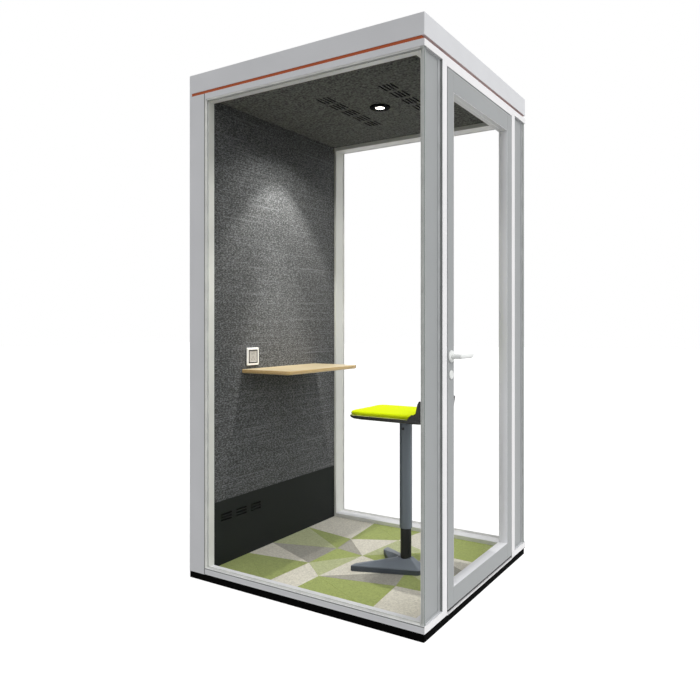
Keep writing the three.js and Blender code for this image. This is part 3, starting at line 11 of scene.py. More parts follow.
import bmesh
import bpy
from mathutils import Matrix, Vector


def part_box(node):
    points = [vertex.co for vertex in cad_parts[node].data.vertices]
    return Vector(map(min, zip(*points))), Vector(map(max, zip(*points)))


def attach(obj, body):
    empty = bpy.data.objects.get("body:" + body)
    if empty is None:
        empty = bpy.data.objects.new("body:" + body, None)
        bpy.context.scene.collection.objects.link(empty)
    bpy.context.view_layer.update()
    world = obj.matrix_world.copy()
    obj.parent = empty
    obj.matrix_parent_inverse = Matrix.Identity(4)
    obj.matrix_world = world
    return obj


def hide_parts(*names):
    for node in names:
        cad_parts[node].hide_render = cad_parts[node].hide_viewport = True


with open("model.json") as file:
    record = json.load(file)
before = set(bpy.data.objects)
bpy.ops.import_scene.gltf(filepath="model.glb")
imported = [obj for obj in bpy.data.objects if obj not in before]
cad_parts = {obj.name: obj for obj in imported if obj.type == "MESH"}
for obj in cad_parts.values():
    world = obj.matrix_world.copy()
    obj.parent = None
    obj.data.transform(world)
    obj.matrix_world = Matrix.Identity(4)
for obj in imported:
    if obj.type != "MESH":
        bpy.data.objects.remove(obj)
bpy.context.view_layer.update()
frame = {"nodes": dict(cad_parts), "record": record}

LOG = logging.getLogger("pod")
MM = 0.001
SLOT_OF = {row["node"]: row["material_slot"] for row in frame["record"]["subparts"]}
BODY_OF = {node: body for body, nodes in frame["record"]["behaviour"]["bodies"].items() for node in nodes}

Colour = tuple[float, float, float, float]
Inputs = dict[str | int, object]
FaceTest = Callable[[Vector, Vector], bool]


class Body(Enum):
    """The moving groups of the pod that new trim rides on."""

    POD = "pod"
    DOOR = "door"
    SEAT = "stool_seat"


def linear(hex_colour: str) -> Colour:
    """Turns an sRGB hex colour into linear light.

    Args:
        hex_colour: Six hex digits after a number sign.

    Returns:
        Red, green, blue and alpha for a shader socket.
    """
    parts = [int(hex_colour[i:i + 2], 16) / 255 for i in (1, 3, 5)]
    light = [c / 12.92 if c <= 0.04045 else ((c + 0.055) / 1.055) ** 2.4 for c in parts]
    return (light[0], light[1], light[2], 1.0)


def shade(hex_colour: str, share: float) -> str:
    """Scales a hex colour's brightness by share, within the hex range."""
    parts = [min(255, round(int(hex_colour[i:i + 2], 16) * share)) for i in (1, 3, 5)]
    return "#" + "".join(f"{part:02x}" for part in parts)


def per(size_mm: float) -> float:
    """Gives the texture scale at which one feature measures size_mm."""
    return 1 / (size_mm * MM)


def add_node(tree: bpy.types.NodeTree, kind: str, inputs: Inputs | None = None,
             stops: list[tuple[float, str]] | None = None, **settings: object) -> bpy.types.Node:
    """Adds one shader node with its settings, values and links.

    Args:
        tree: The node tree that gets it.
        kind: The node's type name, without its first words.
        inputs: Socket name or number to a value, or to the output socket that feeds it.
        stops: The places of a colour ramp from 0 to 1, each with a hex colour.
        **settings: Properties of the node.

    Returns:
        The new node.
    """
    node = tree.nodes.new(f"ShaderNode{kind}")
    for key, value in settings.items():
        setattr(node, key, value)
    for key, value in (inputs or {}).items():
        if isinstance(value, bpy.types.NodeSocket):
            tree.links.new(value, node.inputs[key])
        else:
            node.inputs[key].default_value = value
    for place, _ in (stops or [])[2:]:
        node.color_ramp.elements.new(place)
    for number, (place, colour) in enumerate(sorted(stops or [])):
        node.color_ramp.elements[number].position = place
        node.color_ramp.elements[number].color = linear(colour)
    return node


@dataclass(frozen=True)
class Finish:
    """A finish: its plain name, colour, gloss and metal share."""

    name: str
    colour: str
    roughness: float = 0.5
    metallic: float = 0.0

    def material(self) -> bpy.types.Material:
        """Gives the finish's material, and makes it on first use."""
        return bpy.data.materials.get(self.name) or self.build()

    def build(self) -> bpy.types.Material:
        """Makes the material from a principled shader and what its surface shows."""
        material = bpy.data.materials.new(self.name)
        material.use_nodes = True
        tree = material.node_tree
        tree.nodes.clear()
        plain: Inputs = {"Base Color": linear(self.colour), "Roughness": self.roughness, "Metallic": self.metallic}
        shader = add_node(tree, "BsdfPrincipled", plain | self.surface(tree))
        add_node(tree, "OutputMaterial", {"Surface": shader.outputs["BSDF"]})
        return material

    def surface(self, tree: bpy.types.NodeTree) -> Inputs:
        """Gives the shader's inputs for what the surface shows beyond its colour."""
        return {}

    def gloss_swing(self, value: bpy.types.NodeSocket, swing: float) -> Inputs:
        """Gives the settings that let a soft pattern swing the roughness.

        Args:
            value: The pattern, mostly between 0.3 and 0.7.
            swing: The largest change of roughness.

        Returns:
            The inputs of a range that ends at the roughness plus or minus the swing.
        """
        ends = {"To Min": self.roughness - swing, "To Max": self.roughness + swing}
        return {"Value": value, "From Min": 0.3, "From Max": 0.7} | ends

    def tones(self, swing: float) -> list[tuple[float, str]]:
        """Gives the ramp of a soft pattern that darkens and lightens the colour by a share."""
        return [(0.3, shade(self.colour, 1 - swing)), (0.7, shade(self.colour, 1 + swing))]


@dataclass(frozen=True)
class PowderCoat(Finish):
    """Baked powder on metal: an even satin with a fine orange peel and faint clouding."""

    peel_mm: float = 2.5
    cloud_mm: float = 240
    cloud: float = 0.012
    shine: float = 0.5

    def surface(self, tree: bpy.types.NodeTree) -> Inputs:
        """Adds clouding, and the peel, drawn twice as coarse as real so that it shows."""
        spot = add_node(tree, "TexCoord").outputs["Object"]
        cloud = add_node(tree, "TexNoise", {"Vector": spot, "Scale": per(self.cloud_mm), "Detail": 2.0})
        tone = add_node(tree, "ValToRGB", {"Fac": cloud.outputs["Fac"]}, self.tones(self.cloud))
        peel = add_node(tree, "TexNoise", {"Vector": spot, "Scale": per(self.peel_mm), "Detail": 2.0})
        gloss = add_node(tree, "MapRange", self.gloss_swing(peel.outputs["Fac"], 0.06))
        relief = add_node(tree, "Bump", {"Height": peel.outputs["Fac"], "Distance": 0.12 * MM, "Strength": 0.25})
        return {"Base Color": tone.outputs["Color"], "Roughness": gloss.outputs["Result"],
                "Normal": relief.outputs["Normal"], "Specular IOR Level": self.shine}


@dataclass(frozen=True)
class MouldedPlastic(Finish):
    """Moulded plastic: a spark-eroded grain that breaks the gloss."""

    grain_mm: float = 1.6

    def surface(self, tree: bpy.types.NodeTree) -> Inputs:
        """Adds the grain, drawn about twice as coarse as real, and slight mottling."""
        spot = add_node(tree, "TexCoord").outputs["Object"]
        grain = add_node(tree, "TexNoise", {"Vector": spot, "Scale": per(self.grain_mm), "Detail": 3.0})
        tone = add_node(tree, "ValToRGB", {"Fac": grain.outputs["Fac"]}, self.tones(0.05))
        gloss = add_node(tree, "MapRange", self.gloss_swing(grain.outputs["Fac"], 0.08))
        relief = add_node(tree, "Bump", {"Height": grain.outputs["Fac"], "Distance": 0.1 * MM, "Strength": 0.3})
        return {"Base Color": tone.outputs["Color"], "Roughness": gloss.outputs["Result"],
                "Normal": relief.outputs["Normal"]}


@dataclass(frozen=True)
class BrushedSteel(Finish):
    """Zinc plated steel, linished: long hairlines along Z that stretch its highlights."""

    hair_mm: float = 0.7
    hair_length_mm: float = 28.0

    def surface(self, tree: bpy.types.NodeTree) -> Inputs:
        """Adds the hairlines to colour, gloss and relief."""
        spot = add_node(tree, "TexCoord").outputs["Object"]
        fine = per(self.hair_mm)
        drawn = add_node(tree, "Mapping", {"Vector": spot, "Scale": (fine, fine, per(self.hair_length_mm))})
        hair = add_node(tree, "TexNoise", {"Vector": drawn.outputs["Vector"], "Scale": 1.0, "Detail": 3.0})
        tone = add_node(tree, "ValToRGB", {"Fac": hair.outputs["Fac"]}, self.tones(0.1))
        gloss = add_node(tree, "MapRange", self.gloss_swing(hair.outputs["Fac"], 0.1))
        relief = add_node(tree, "Bump", {"Height": hair.outputs["Fac"], "Distance": 0.05 * MM, "Strength": 0.3})
        return {"Base Color": tone.outputs["Color"], "Roughness": gloss.outputs["Result"],
                "Normal": relief.outputs["Normal"]}


@dataclass(frozen=True)
class Rubber(Finish):
    """Extruded rubber or silicone: dull, with a faint bloom of dust along the profile."""

    bloom_mm: float = 60.0

    def surface(self, tree: bpy.types.NodeTree) -> Inputs:
        """Adds the bloom and the skin's fine die lines."""
        spot = add_node(tree, "TexCoord").outputs["Object"]
        bloom = add_node(tree, "TexNoise", {"Vector": spot, "Scale": per(self.bloom_mm), "Detail": 3.0})
        tone = add_node(tree, "ValToRGB", {"Fac": bloom.outputs["Fac"]}, self.tones(0.04))
        gloss = add_node(tree, "MapRange", self.gloss_swing(bloom.outputs["Fac"], 0.08))
        skin = add_node(tree, "TexNoise", {"Vector": spot, "Scale": per(1.2), "Detail": 2.0})
        relief = add_node(tree, "Bump", {"Height": skin.outputs["Fac"], "Distance": 0.08 * MM, "Strength": 0.2})
        return {"Base Color": tone.outputs["Color"], "Roughness": gloss.outputs["Result"],
                "Normal": relief.outputs["Normal"], "Specular IOR Level": 0.3}


@dataclass(frozen=True)
class WovenWool(Finish):
    """Heathered wool weave: dark and pale flecks in a plain weave, with stray pale slubs along the weft."""

    dark: str = "#17181a"
    pale: str = "#66686a"
    slub: str = "#7d7f83"
    fleck_mm: tuple[float, float, float] = (8.0, 11.0, 4.0)
    slub_mm: tuple[float, float, float] = (500.0, 500.0, 4.5)
    thread_mm: float = 3.2

    def surface(self, tree: bpy.types.NodeTree) -> Inputs:
        """Adds flecks and threads, both drawn about twice as coarse as real, slubs and the weave's relief."""
        spot = add_node(tree, "TexCoord").outputs["Object"]
        strewn = add_node(tree, "Mapping", {"Vector": spot, "Scale": tuple(per(size) for size in self.fleck_mm)})
        fleck = add_node(tree, "TexNoise", {"Vector": strewn.outputs["Vector"], "Scale": 1.0, "Detail": 3.0})
        body = add_node(tree, "ValToRGB", {"Fac": fleck.outputs["Fac"]},
                        [(0.36, self.dark), (0.64, self.pale), (0.5, self.colour)])
        drawn = add_node(tree, "Mapping", {"Vector": spot, "Scale": tuple(per(size) for size in self.slub_mm)})
        stray = add_node(tree, "TexNoise", {"Vector": drawn.outputs["Vector"], "Scale": 1.0, "Detail": 2.0})
        share = add_node(tree, "MapRange", {"Value": stray.outputs["Fac"], "From Min": 0.56, "From Max": 0.74,
                                            "To Max": 0.5})
        yarn = add_node(tree, "Mix", {0: share.outputs["Result"], 6: body.outputs["Color"], 7: linear(self.slub)},
                        data_type="RGBA")
        threads = {"Vector": spot, "Scale": per(self.thread_mm) / 20, "Distortion": 0.6, "Detail": 2.0}
        weft = add_node(tree, "TexWave", threads, bands_direction="Z")
        warp = add_node(tree, "TexWave", threads, bands_direction="Y")
        weave = add_node(tree, "Math", {0: weft.outputs["Fac"], 1: warp.outputs["Fac"]}, operation="MULTIPLY")
        loft = add_node(tree, "Math", {0: weave.outputs[0], 1: fleck.outputs["Fac"]}, operation="ADD")
        relief = add_node(tree, "Bump", {"Height": loft.outputs[0], "Distance": 0.6 * MM, "Strength": 0.5})
        return {"Base Color": yarn.outputs[2], "Normal": relief.outputs["Normal"], "Sheen Weight": 0.2,
                "Sheen Roughness": 0.6, "Specular IOR Level": 0.2}


@dataclass(frozen=True)
class PressedFelt(Finish):
    """Pressed felt: short random fibres, soft speckle, no gloss."""

    fibre_mm: float = 5.0
    contrast: float = 0.12
    sheen: float = 0.3

    def surface(self, tree: bpy.types.NodeTree) -> Inputs:
        """Adds the fibre speckle, drawn coarse enough to show, and the nap."""
        spot = add_node(tree, "TexCoord").outputs["Object"]
        fibre = add_node(tree, "TexNoise", {"Vector": spot, "Scale": per(self.fibre_mm), "Detail": 5.0})
        tone = add_node(tree, "ValToRGB", {"Fac": fibre.outputs["Fac"]}, self.tones(self.contrast))
        nap = add_node(tree, "TexNoise", {"Vector": spot, "Scale": per(1.8), "Detail": 4.0})
        relief = add_node(tree, "Bump", {"Height": nap.outputs["Fac"], "Distance": 0.5 * MM, "Strength": 0.5})
        return {"Base Color": tone.outputs["Color"], "Normal": relief.outputs["Normal"],
                "Sheen Weight": self.sheen, "Sheen Roughness": 0.5, "Specular IOR Level": 0.2}


@dataclass(frozen=True)
class LoopPile(Finish):
    """Low loop pile carpet: small loops with two yarn shades and shade between them."""

    loop_mm: float = 6.0
    yarn_mm: float = 9.0

    def surface(self, tree: bpy.types.NodeTree) -> Inputs:
        """Adds loops, drawn twice as coarse as real, the pits between them and mixed yarn."""
        spot = add_node(tree, "TexCoord").outputs["Object"]
        loops = add_node(tree, "TexVoronoi", {"Vector": spot, "Scale": per(self.loop_mm), "Randomness": 0.8})
        yarn = add_node(tree, "TexNoise", {"Vector": spot, "Scale": per(self.yarn_mm), "Detail": 4.0})
        tone = add_node(tree, "ValToRGB", {"Fac": yarn.outputs["Fac"]}, self.tones(0.06))
        pit = add_node(tree, "MapRange", {"Value": loops.outputs["Distance"], "From Min": 0.35, "From Max": 0.75,
                                          "To Max": 0.2})
        pile = add_node(tree, "Mix", {0: pit.outputs["Result"], 6: tone.outputs["Color"],
                                      7: linear(shade(self.colour, 0.6))}, data_type="RGBA")
        turned = add_node(tree, "Math", {0: 1.0, 1: loops.outputs["Distance"]}, operation="SUBTRACT")
        relief = add_node(tree, "Bump", {"Height": turned.outputs[0], "Distance": 1.5 * MM, "Strength": 0.6})
        return {"Base Color": pile.outputs[2], "Normal": relief.outputs["Normal"], "Sheen Weight": 0.15,
                "Specular IOR Level": 0.15}


@dataclass(frozen=True)
class Beech(Finish):
    """Steamed beech under satin lacquer: pale straight grain along Y with short dark rays."""

    dark: str = "#d2ab72"
    grain_mm: float = 7.0
    grain_length_mm: float = 315.0

    def surface(self, tree: bpy.types.NodeTree) -> Inputs:
        """Adds grain bands, ray flecks and the lacquer's fine relief."""
        spot = add_node(tree, "TexCoord").outputs["Object"]
        wide = per(self.grain_mm)
        drawn = add_node(tree, "Mapping", {"Vector": spot, "Scale": (wide, per(self.grain_length_mm), wide)})
        grain = add_node(tree, "TexNoise", {"Vector": drawn.outputs["Vector"], "Scale": 1.0, "Detail": 5.0})
        body = add_node(tree, "ValToRGB", {"Fac": grain.outputs["Fac"]}, [(0.34, self.dark), (0.62, self.colour)])
        short = add_node(tree, "Mapping", {"Vector": spot, "Scale": (per(1.6), per(16), per(1.6))})
        ray = add_node(tree, "TexNoise", {"Vector": short.outputs["Vector"], "Scale": 1.0, "Detail": 2.0})
        mark = add_node(tree, "MapRange", {"Value": ray.outputs["Fac"], "From Min": 0.6, "From Max": 0.72,
                                           "To Max": 0.35})
        wood = add_node(tree, "Mix", {0: mark.outputs["Result"], 6: body.outputs["Color"],
                                      7: linear(shade(self.dark, 0.78))}, data_type="RGBA")
        gloss = add_node(tree, "MapRange", self.gloss_swing(grain.outputs["Fac"], 0.06))
        relief = add_node(tree, "Bump", {"Height": ray.outputs["Fac"], "Distance": 0.08 * MM, "Strength": 0.2})
        return {"Base Color": wood.outputs[2], "Roughness": gloss.outputs["Result"],
                "Normal": relief.outputs["Normal"], "Coat Weight": 0.15, "Coat Roughness": 0.3}


@dataclass(frozen=True)
class OpalLens(Finish):
    """Opal diffuser over a lit lamp: an even white glow with faint moulded clouding."""

    glow: float = 4.0

    def surface(self, tree: bpy.types.NodeTree) -> Inputs:
        """Adds the glow and its clouding."""
        spot = add_node(tree, "TexCoord").outputs["Object"]
        cloud = add_node(tree, "TexNoise", {"Vector": spot, "Scale": per(12), "Detail": 2.0})
        tone = add_node(tree, "ValToRGB", {"Fac": cloud.outputs["Fac"]}, [(0.3, "#fff6e6"), (0.7, "#fffdf8")])
        return {"Emission Color": tone.outputs["Color"], "Emission Strength": self.glow}


@dataclass(frozen=True)
class ClearGlass(Finish):
    """Polished safety glass: almost unseen face on, with a weak mirror at a slant."""

    gloss: float = 0.5
    slant_from: float = 0.65

    def build(self) -> bpy.types.Material:
        """Makes the glass from a clear shader and a mirror that grows with the slant."""
        material = bpy.data.materials.new(self.name)
        material.use_nodes = True
        tree = material.node_tree
        tree.nodes.clear()
        clear = add_node(tree, "BsdfTransparent", {"Color": linear(self.colour)})
        mirror = add_node(tree, "BsdfGlossy", {"Color": linear("#ffffff"), "Roughness": self.roughness})
        slant = add_node(tree, "LayerWeight", {"Blend": 0.5})
        share = add_node(tree, "MapRange", {"Value": slant.outputs["Facing"], "From Min": self.slant_from,
                                            "To Max": self.gloss})
        mix = add_node(tree, "MixShader", {0: share.outputs[0], 1: clear.outputs[0], 2: mirror.outputs[0]})
        add_node(tree, "OutputMaterial", {"Surface": mix.outputs[0]})
        return material


# Baked powder coats. The pale ones read as clean satin sheet metal; the reveals' duller, warmer tint of it is
# painted shade.
LIGHT_COAT = PowderCoat("powder coated steel, light grey", "#d9dadd", 0.45)
WHITE_COAT = PowderCoat("powder coated steel, white", "#f2f1f2", 0.42)
SHADED_REVEAL_COAT = PowderCoat("powder coated steel, light grey with painted shade", "#d5d6d1", 0.55)
LEAF_COAT = PowderCoat("powder coated steel, mid grey", "#9da0a1", 0.45)
LEVER_COAT = PowderCoat("powder coated zinc, white", "#eef0ee", 0.38)
# The dark coats are matt, so that they stay near black beside a bright floor.
BASE_COAT = PowderCoat("powder coated steel, matt black", "#030303", 0.8, shine=0.03)
KICK_COAT = PowderCoat("powder coated steel, charcoal", "#232624", 0.75, shine=0.12)
SLATE_COAT = PowderCoat("powder coated casting, slate", "#6e767e", 0.42)
# The foot's darker sides are painted shade.
FOOT_SIDE_SHADE = PowderCoat("powder coated casting, slate with painted shade", "#414850", 0.5)
COLUMN_COAT = PowderCoat("powder coated tube, slate", "#626b72", 0.42)
BLACK_TUBE = PowderCoat("burnished tube, black", "#1e201f", 0.35, shine=0.3)
# Moulded and extruded plastics: a fine grain that turns highlights milky.
ORANGE_STRIP = MouldedPlastic("extruded plastic, burnt orange", "#ab4a15", 0.55)
# The dark brown socket frame also stands for painted shade of the gap round the insert.
DARK_FRAME_PLASTIC = MouldedPlastic("moulded plastic frame with painted shade, dark brown", "#1c1815", 0.6)
BLACK_PLASTIC = MouldedPlastic("moulded plastic, black", "#141517", 0.5)
WHITE_PLASTIC = MouldedPlastic("moulded urea plastic, white", "#ecece8", 0.3)
GREY_PLASTIC = MouldedPlastic("moulded urea plastic, pale grey", "#a9a7a2", 0.4)
GLASS_EDGE = MouldedPlastic("polished glass edge", "#757d7b", 0.2)
# Seals: pale silicone beside the panes. The dark grey lines are painted shade, and the black sweep also carries
# painted shade of the gap under the door.
SEAL_RUBBER = Rubber("extruded silicone, white", "#eff0ed", 0.6)
SHADE_LINE_COAT = Rubber("painted shade line, dark grey", "#7f8281", 0.75)
BEAD = Rubber("silicone bead, light grey", "#c6c9c6", 0.5)
SWEEP_AND_GAP_SHADE = Rubber("extruded rubber sweep with painted gap shade, black", "#1a1b1b", 0.75)
PANEL_RUBBER = Rubber("extruded rubber, mid grey", "#abaeaf", 0.6)
# Cloths: no gloss, and a speckle that softens the light.
# The black on slot walls and rims is painted shade; behind the kick panel it is fleece.
SLOT_FLEECE_AND_SHADE = PressedFelt("acoustic fleece behind slots and painted slot shade, black", "#070708", 0.95, sheen=0.0)
ROOF_LINING = PressedFelt("acoustic foam lining, black", "#0a0a0b", 0.95, sheen=0.0)
PANEL_WOOL = WovenWool("woven wool, heathered grey", "#373939", 0.95)
CEILING_FELT = PressedFelt("pressed felt, charcoal", "#424340", 0.95, fibre_mm=9.0, contrast=0.9, sheen=0.1)
SEAT_FELT = PressedFelt("pressed felt, lime", "#c9da07", 0.9, fibre_mm=3.5, contrast=0.05, sheen=0.0)
# The piping's pale tone is partly a painted highlight.
PIPING_WITH_HIGHLIGHT = PressedFelt("woven piping, lime with painted highlight", "#d8e07a", 0.8, fibre_mm=2.0, contrast=0.06)
PILE_GREEN = LoopPile("loop pile, leaf green", "#9fab63", 0.95)
PILE_PALE = LoopPile("loop pile, pale green", "#b5bb8e", 0.95)
PILE_CREAM = LoopPile("loop pile, cream", "#d8d4c6", 0.95)
PILE_GREY = LoopPile("loop pile, warm grey", "#a6a398", 0.95)
# Woods: pale straight grain, warmer and darker on cut edges.
DESK_BEECH = Beech("lacquered beech", "#cbbd9e", 0.38, dark="#b9a57d")
BEECH_EDGE = Beech("lacquered beech edge", "#d8ba84", 0.45, dark="#b8935a", grain_mm=4.0)
DECK_BOARD = Beech("raw floor board", "#9a8463", 0.8, dark="#7c6748")
# Plated steel with drawn highlights, a lit diffuser and clear panes.
ZINC = BrushedSteel("zinc plated steel, linished", "#b4b6b8", 0.35, 1.0)
LENS = OpalLens("opal diffuser, lit", "#f8f8f4", 0.4)
GLASS = ClearGlass("clear safety glass", "#ffffff", 0.02)


def activate(piece: bpy.types.Object) -> None:
    """Leaves object mode active with only this piece selected."""
    if bpy.context.object and bpy.context.object.mode != "OBJECT":
        bpy.ops.object.mode_set(mode="OBJECT")
    bpy.ops.object.select_all(action="DESELECT")
    piece.select_set(True)
    bpy.context.view_layer.objects.active = piece


@contextmanager
def editing(piece: bpy.types.Object) -> Iterator[None]:
    """Holds a piece in edit mode, with nothing selected at the start.

    Args:
        piece: The mesh object to edit.
    """
    activate(piece)
    bpy.ops.object.mode_set(mode="EDIT")
    bpy.ops.mesh.select_mode(type="FACE")
    bpy.ops.mesh.select_all(action="DESELECT")
    try:
        yield
    finally:
        bpy.ops.object.mode_set(mode="OBJECT")


def pick_faces(piece: bpy.types.Object, test: FaceTest) -> None:
    """Selects the faces of a piece in edit mode that pass a test.

    Args:
        piece: The mesh object in edit mode.
        test: Takes a face's middle and normal.
    """
    shape = bmesh.from_edit_mesh(piece.data)
    for face in shape.faces:
        face.select_set(test(face.calc_center_median(), face.normal))
    shape.select_flush_mode()
    bmesh.update_edit_mesh(piece.data)


def apply_modifier(piece: bpy.types.Object, kind: str, **settings: object) -> None:
    """Adds a modifier with its settings and applies it.

    Args:
        piece: The mesh object.
        kind: The modifier's type name.
        **settings: Its properties.
    """
    modifier = piece.modifiers.new(kind.title(), kind)
    for key, value in settings.items():
        setattr(modifier, key, value)
    activate(piece)
    bpy.ops.object.modifier_apply(modifier=modifier.name)


def smooth(piece: bpy.types.Object, angle_deg: float = 35) -> None:
    """Shades a piece smooth, with edges sharper than the angle kept."""
    activate(piece)
    bpy.ops.object.shade_smooth_by_angle(angle=math.radians(angle_deg))


def settle(piece: bpy.types.Object) -> None:
    """Moves a piece's place, turn and scale into its mesh."""
    activate(piece)
    bpy.ops.object.transform_apply(location=True, rotation=True, scale=True)


def upright_plane(name: str, x: float, low: Vector, high: Vector) -> bpy.types.Object:
    """Makes a flat rectangle that faces along X.

    Args:
        name: The piece's name.
        x: Where it stands, in metres.
        low: A corner that gives its lowest Y and Z.
        high: A corner that gives its highest Y and Z.

    Returns:
        The rectangle as a new object.
    """
    middle = (low + high) / 2
    bpy.ops.object.select_all(action="DESELECT")
    bpy.ops.mesh.primitive_plane_add(size=1, location=(x, middle.y, middle.z), rotation=(0, math.pi / 2, 0))
    piece = bpy.context.object
    piece.name = name
    piece.scale = (high.z - low.z, high.y - low.y, 1)
    settle(piece)
    return piece


def cad_copy(node: str, name: str, pierced: bool = False) -> bpy.types.Object:
    """Copies a CAD node's mesh into a new piece with shared corners and whole flat faces.

    Args:
        node: The CAD node.
        name: The new piece's name.
        pierced: Keeps the triangles, for a plate with many cuts, whose whole faces would cross themselves.

    Returns:
        The new piece, without a material.
    """
    piece = bpy.data.objects.new(name, frame["nodes"][node].data.copy())
    bpy.context.scene.collection.objects.link(piece)
    piece.data.materials.clear()
    activate(piece)
    bpy.ops.mesh.customdata_custom_splitnormals_clear()
    with editing(piece):
        bpy.ops.mesh.select_all(action="SELECT")
        bpy.ops.mesh.remove_doubles(threshold=0.005 * MM)
        if not pierced:
            bpy.ops.mesh.dissolve_limited(angle_limit=math.radians(0.6))
    return piece


def crisp(piece: bpy.types.Object) -> None:
    """Shades a piece so that its flat faces stay flat and only its softened edges look round."""
    activate(piece)
    bpy.ops.mesh.customdata_custom_splitnormals_clear()
    smooth(piece, 50)
    apply_modifier(piece, "WEIGHTED_NORMAL", weight=100, keep_sharp=True)


def split(piece: bpy.types.Object, spot: tuple[float, float, float], across: tuple[float, float, float]) -> None:
    """Cuts new edges into a piece along a plane.

    Args:
        piece: The mesh object.
        spot: A point of the plane.
        across: The plane's normal.
    """
    with editing(piece):
        bpy.ops.mesh.select_all(action="SELECT")
        bpy.ops.mesh.bisect(plane_co=spot, plane_no=across)
    crisp(piece)


@dataclass
class Assembly:
    """A group of pieces that is built and dressed together."""

    pieces: list[bpy.types.Object] = field(default_factory=list)

    def add(self, piece: bpy.types.Object, finish: Finish, body: str, slot: str, *nodes: str) -> bpy.types.Object:
        """Dresses a new piece and ties it to its body.

        Args:
            piece: The new piece.
            finish: Its finish.
            body: The body that carries it.
            slot: The record's slot of its finish; not used.
            *nodes: The CAD nodes that it stands for.

        Returns:
            The piece.
        """
        if not piece.data.materials:
            piece.data.materials.append(finish.material())
        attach(piece, body)
        if nodes:
            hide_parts(*nodes)
        self.pieces.append(piece)
        return piece

    def dress(self, finish: Finish, *nodes: str) -> None:
        """Gives CAD nodes that stay in view their finish."""
        for node in nodes:
            piece = frame["nodes"][node]
            for place in piece.material_slots:
                place.material = finish.material()
            self.pieces.append(piece)

    def ease(self, finish: Finish, edge_mm: float, *nodes: str, segments: int = 2,
             pierced: bool = False) -> list[bpy.types.Object]:
        """Replaces CAD nodes by copies with softened edges.

        Args:
            finish: The finish of the copies.
            edge_mm: The edge's width.
            *nodes: The CAD nodes.
            segments: Steps across an edge.
            pierced: True for plates with many cuts.

        Returns:
            The copies.
        """
        made = []
        for node in nodes:
            piece = cad_copy(node, f"{node}_eased", pierced)
            apply_modifier(piece, "BEVEL", width=edge_mm * MM, segments=segments, limit_method="ANGLE",
                           angle_limit=math.radians(32), use_clamp_overlap=True, loop_slide=False,
                           miter_outer="MITER_ARC")
            crisp(piece)
            made.append(self.add(piece, finish, BODY_OF[node], SLOT_OF[node], node))
        return made

    def blend(self, finish: Finish, voxel_mm: float, rounds: int, *nodes: str) -> None:
        """Replaces CAD nodes by copies whose joins flow into each other, as on a casting.

        Args:
            finish: The finish of the copies.
            voxel_mm: The fineness of the new skin.
            rounds: How often it is smoothed.
            *nodes: The CAD nodes.
        """
        for node in nodes:
            piece = cad_copy(node, f"{node}_cast")
            apply_modifier(piece, "REMESH", mode="VOXEL", voxel_size=voxel_mm * MM)
            apply_modifier(piece, "SMOOTH", factor=0.5, iterations=rounds)
            smooth(piece, 60)
            self.add(piece, finish, BODY_OF[node], SLOT_OF[node], node)

    def tint(self, piece: bpy.types.Object, finish: Finish, test: FaceTest) -> None:
        """Gives some faces of a piece a finish of their own.

        Args:
            piece: The piece, already dressed.
            finish: The finish of the chosen faces.
            test: Takes a face's middle and normal.
        """
        piece.data.materials.append(finish.material())
        last = len(piece.data.materials) - 1
        for face in piece.data.polygons:
            if test(face.center, face.normal):
                face.material_index = last

    def shade_slots(self, piece: bpy.types.Object, node: str, axis: int, margin_mm: float) -> None:
        """Paints what is cut through a panel black, as painted shade, so that its air slots read as dark gaps.

        Args:
            piece: The panel's copy.
            node: Its CAD node.
            axis: The axis across the panel.
            margin_mm: How far from the panel's rim a cut starts at least.
        """
        low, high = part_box(node)
        others = [number for number in range(3) if number != axis]

        def in_slot(middle: Vector, normal: Vector) -> bool:
            """Tells whether a face is the wall of a cut."""
            clear = min(min(middle[n] - low[n], high[n] - middle[n]) for n in others) > margin_mm * MM
            return clear and abs(normal[axis]) < 0.9

        self.tint(piece, SLOT_FLEECE_AND_SHADE, in_slot)

    def build(self) -> None:
        """Builds and dresses the group's pieces."""
        raise NotImplementedError


@dataclass
class Screw:
    """A flat screw head with a round drive recess."""

    head_mm: float = 3.4
    proud_mm: float = 0.3
    rim_mm: float = 0.2
    drive_rim_mm: float = 1.6
    drive_slope_mm: float = 0.15
    drive_depth_mm: float = 0.4

    def make(self, spot: Vector, facing: int) -> bpy.types.Object:
        """Makes one head.

        Args:
            spot: The middle of the surface that it sits in, in metres.
            facing: -1 for a head that faces -Y, 1 for +Y.

        Returns:
            The head as a new object.
        """
        bpy.ops.object.select_all(action="DESELECT")
        bpy.ops.mesh.primitive_cylinder_add(vertices=24, radius=self.head_mm * MM, depth=2 * self.proud_mm * MM,
                                            location=spot, rotation=(math.pi / 2, 0, 0))
        head = bpy.context.object
        settle(head)
        with editing(head):
            pick_faces(head, lambda _, normal: normal.y * facing > 0.9)
            bpy.ops.mesh.bevel(offset=self.rim_mm * MM, segments=2, affect="EDGES")
            pick_faces(head, lambda _, normal: normal.y * facing > 0.9)
            bpy.ops.mesh.inset(thickness=self.drive_rim_mm * MM, depth=0)
            bpy.ops.mesh.inset(thickness=self.drive_slope_mm * MM, depth=-self.drive_depth_mm * MM)
        smooth(head)
        return head

    def pair(self, name: str, first: Vector, second: Vector, facing: int) -> bpy.types.Object:
        """Makes two heads as one piece.

        Args:
            name: The piece's name.
            first: Where the first sits, in metres.
            second: Where the second sits.
            facing: -1 for heads that face -Y, 1 for +Y.

        Returns:
            The joined piece.
        """
        heads = [self.make(first, facing), self.make(second, facing)]
        activate(heads[0])
        heads[1].select_set(True)
        bpy.ops.object.join()
        heads[0].name = name
        return heads[0]


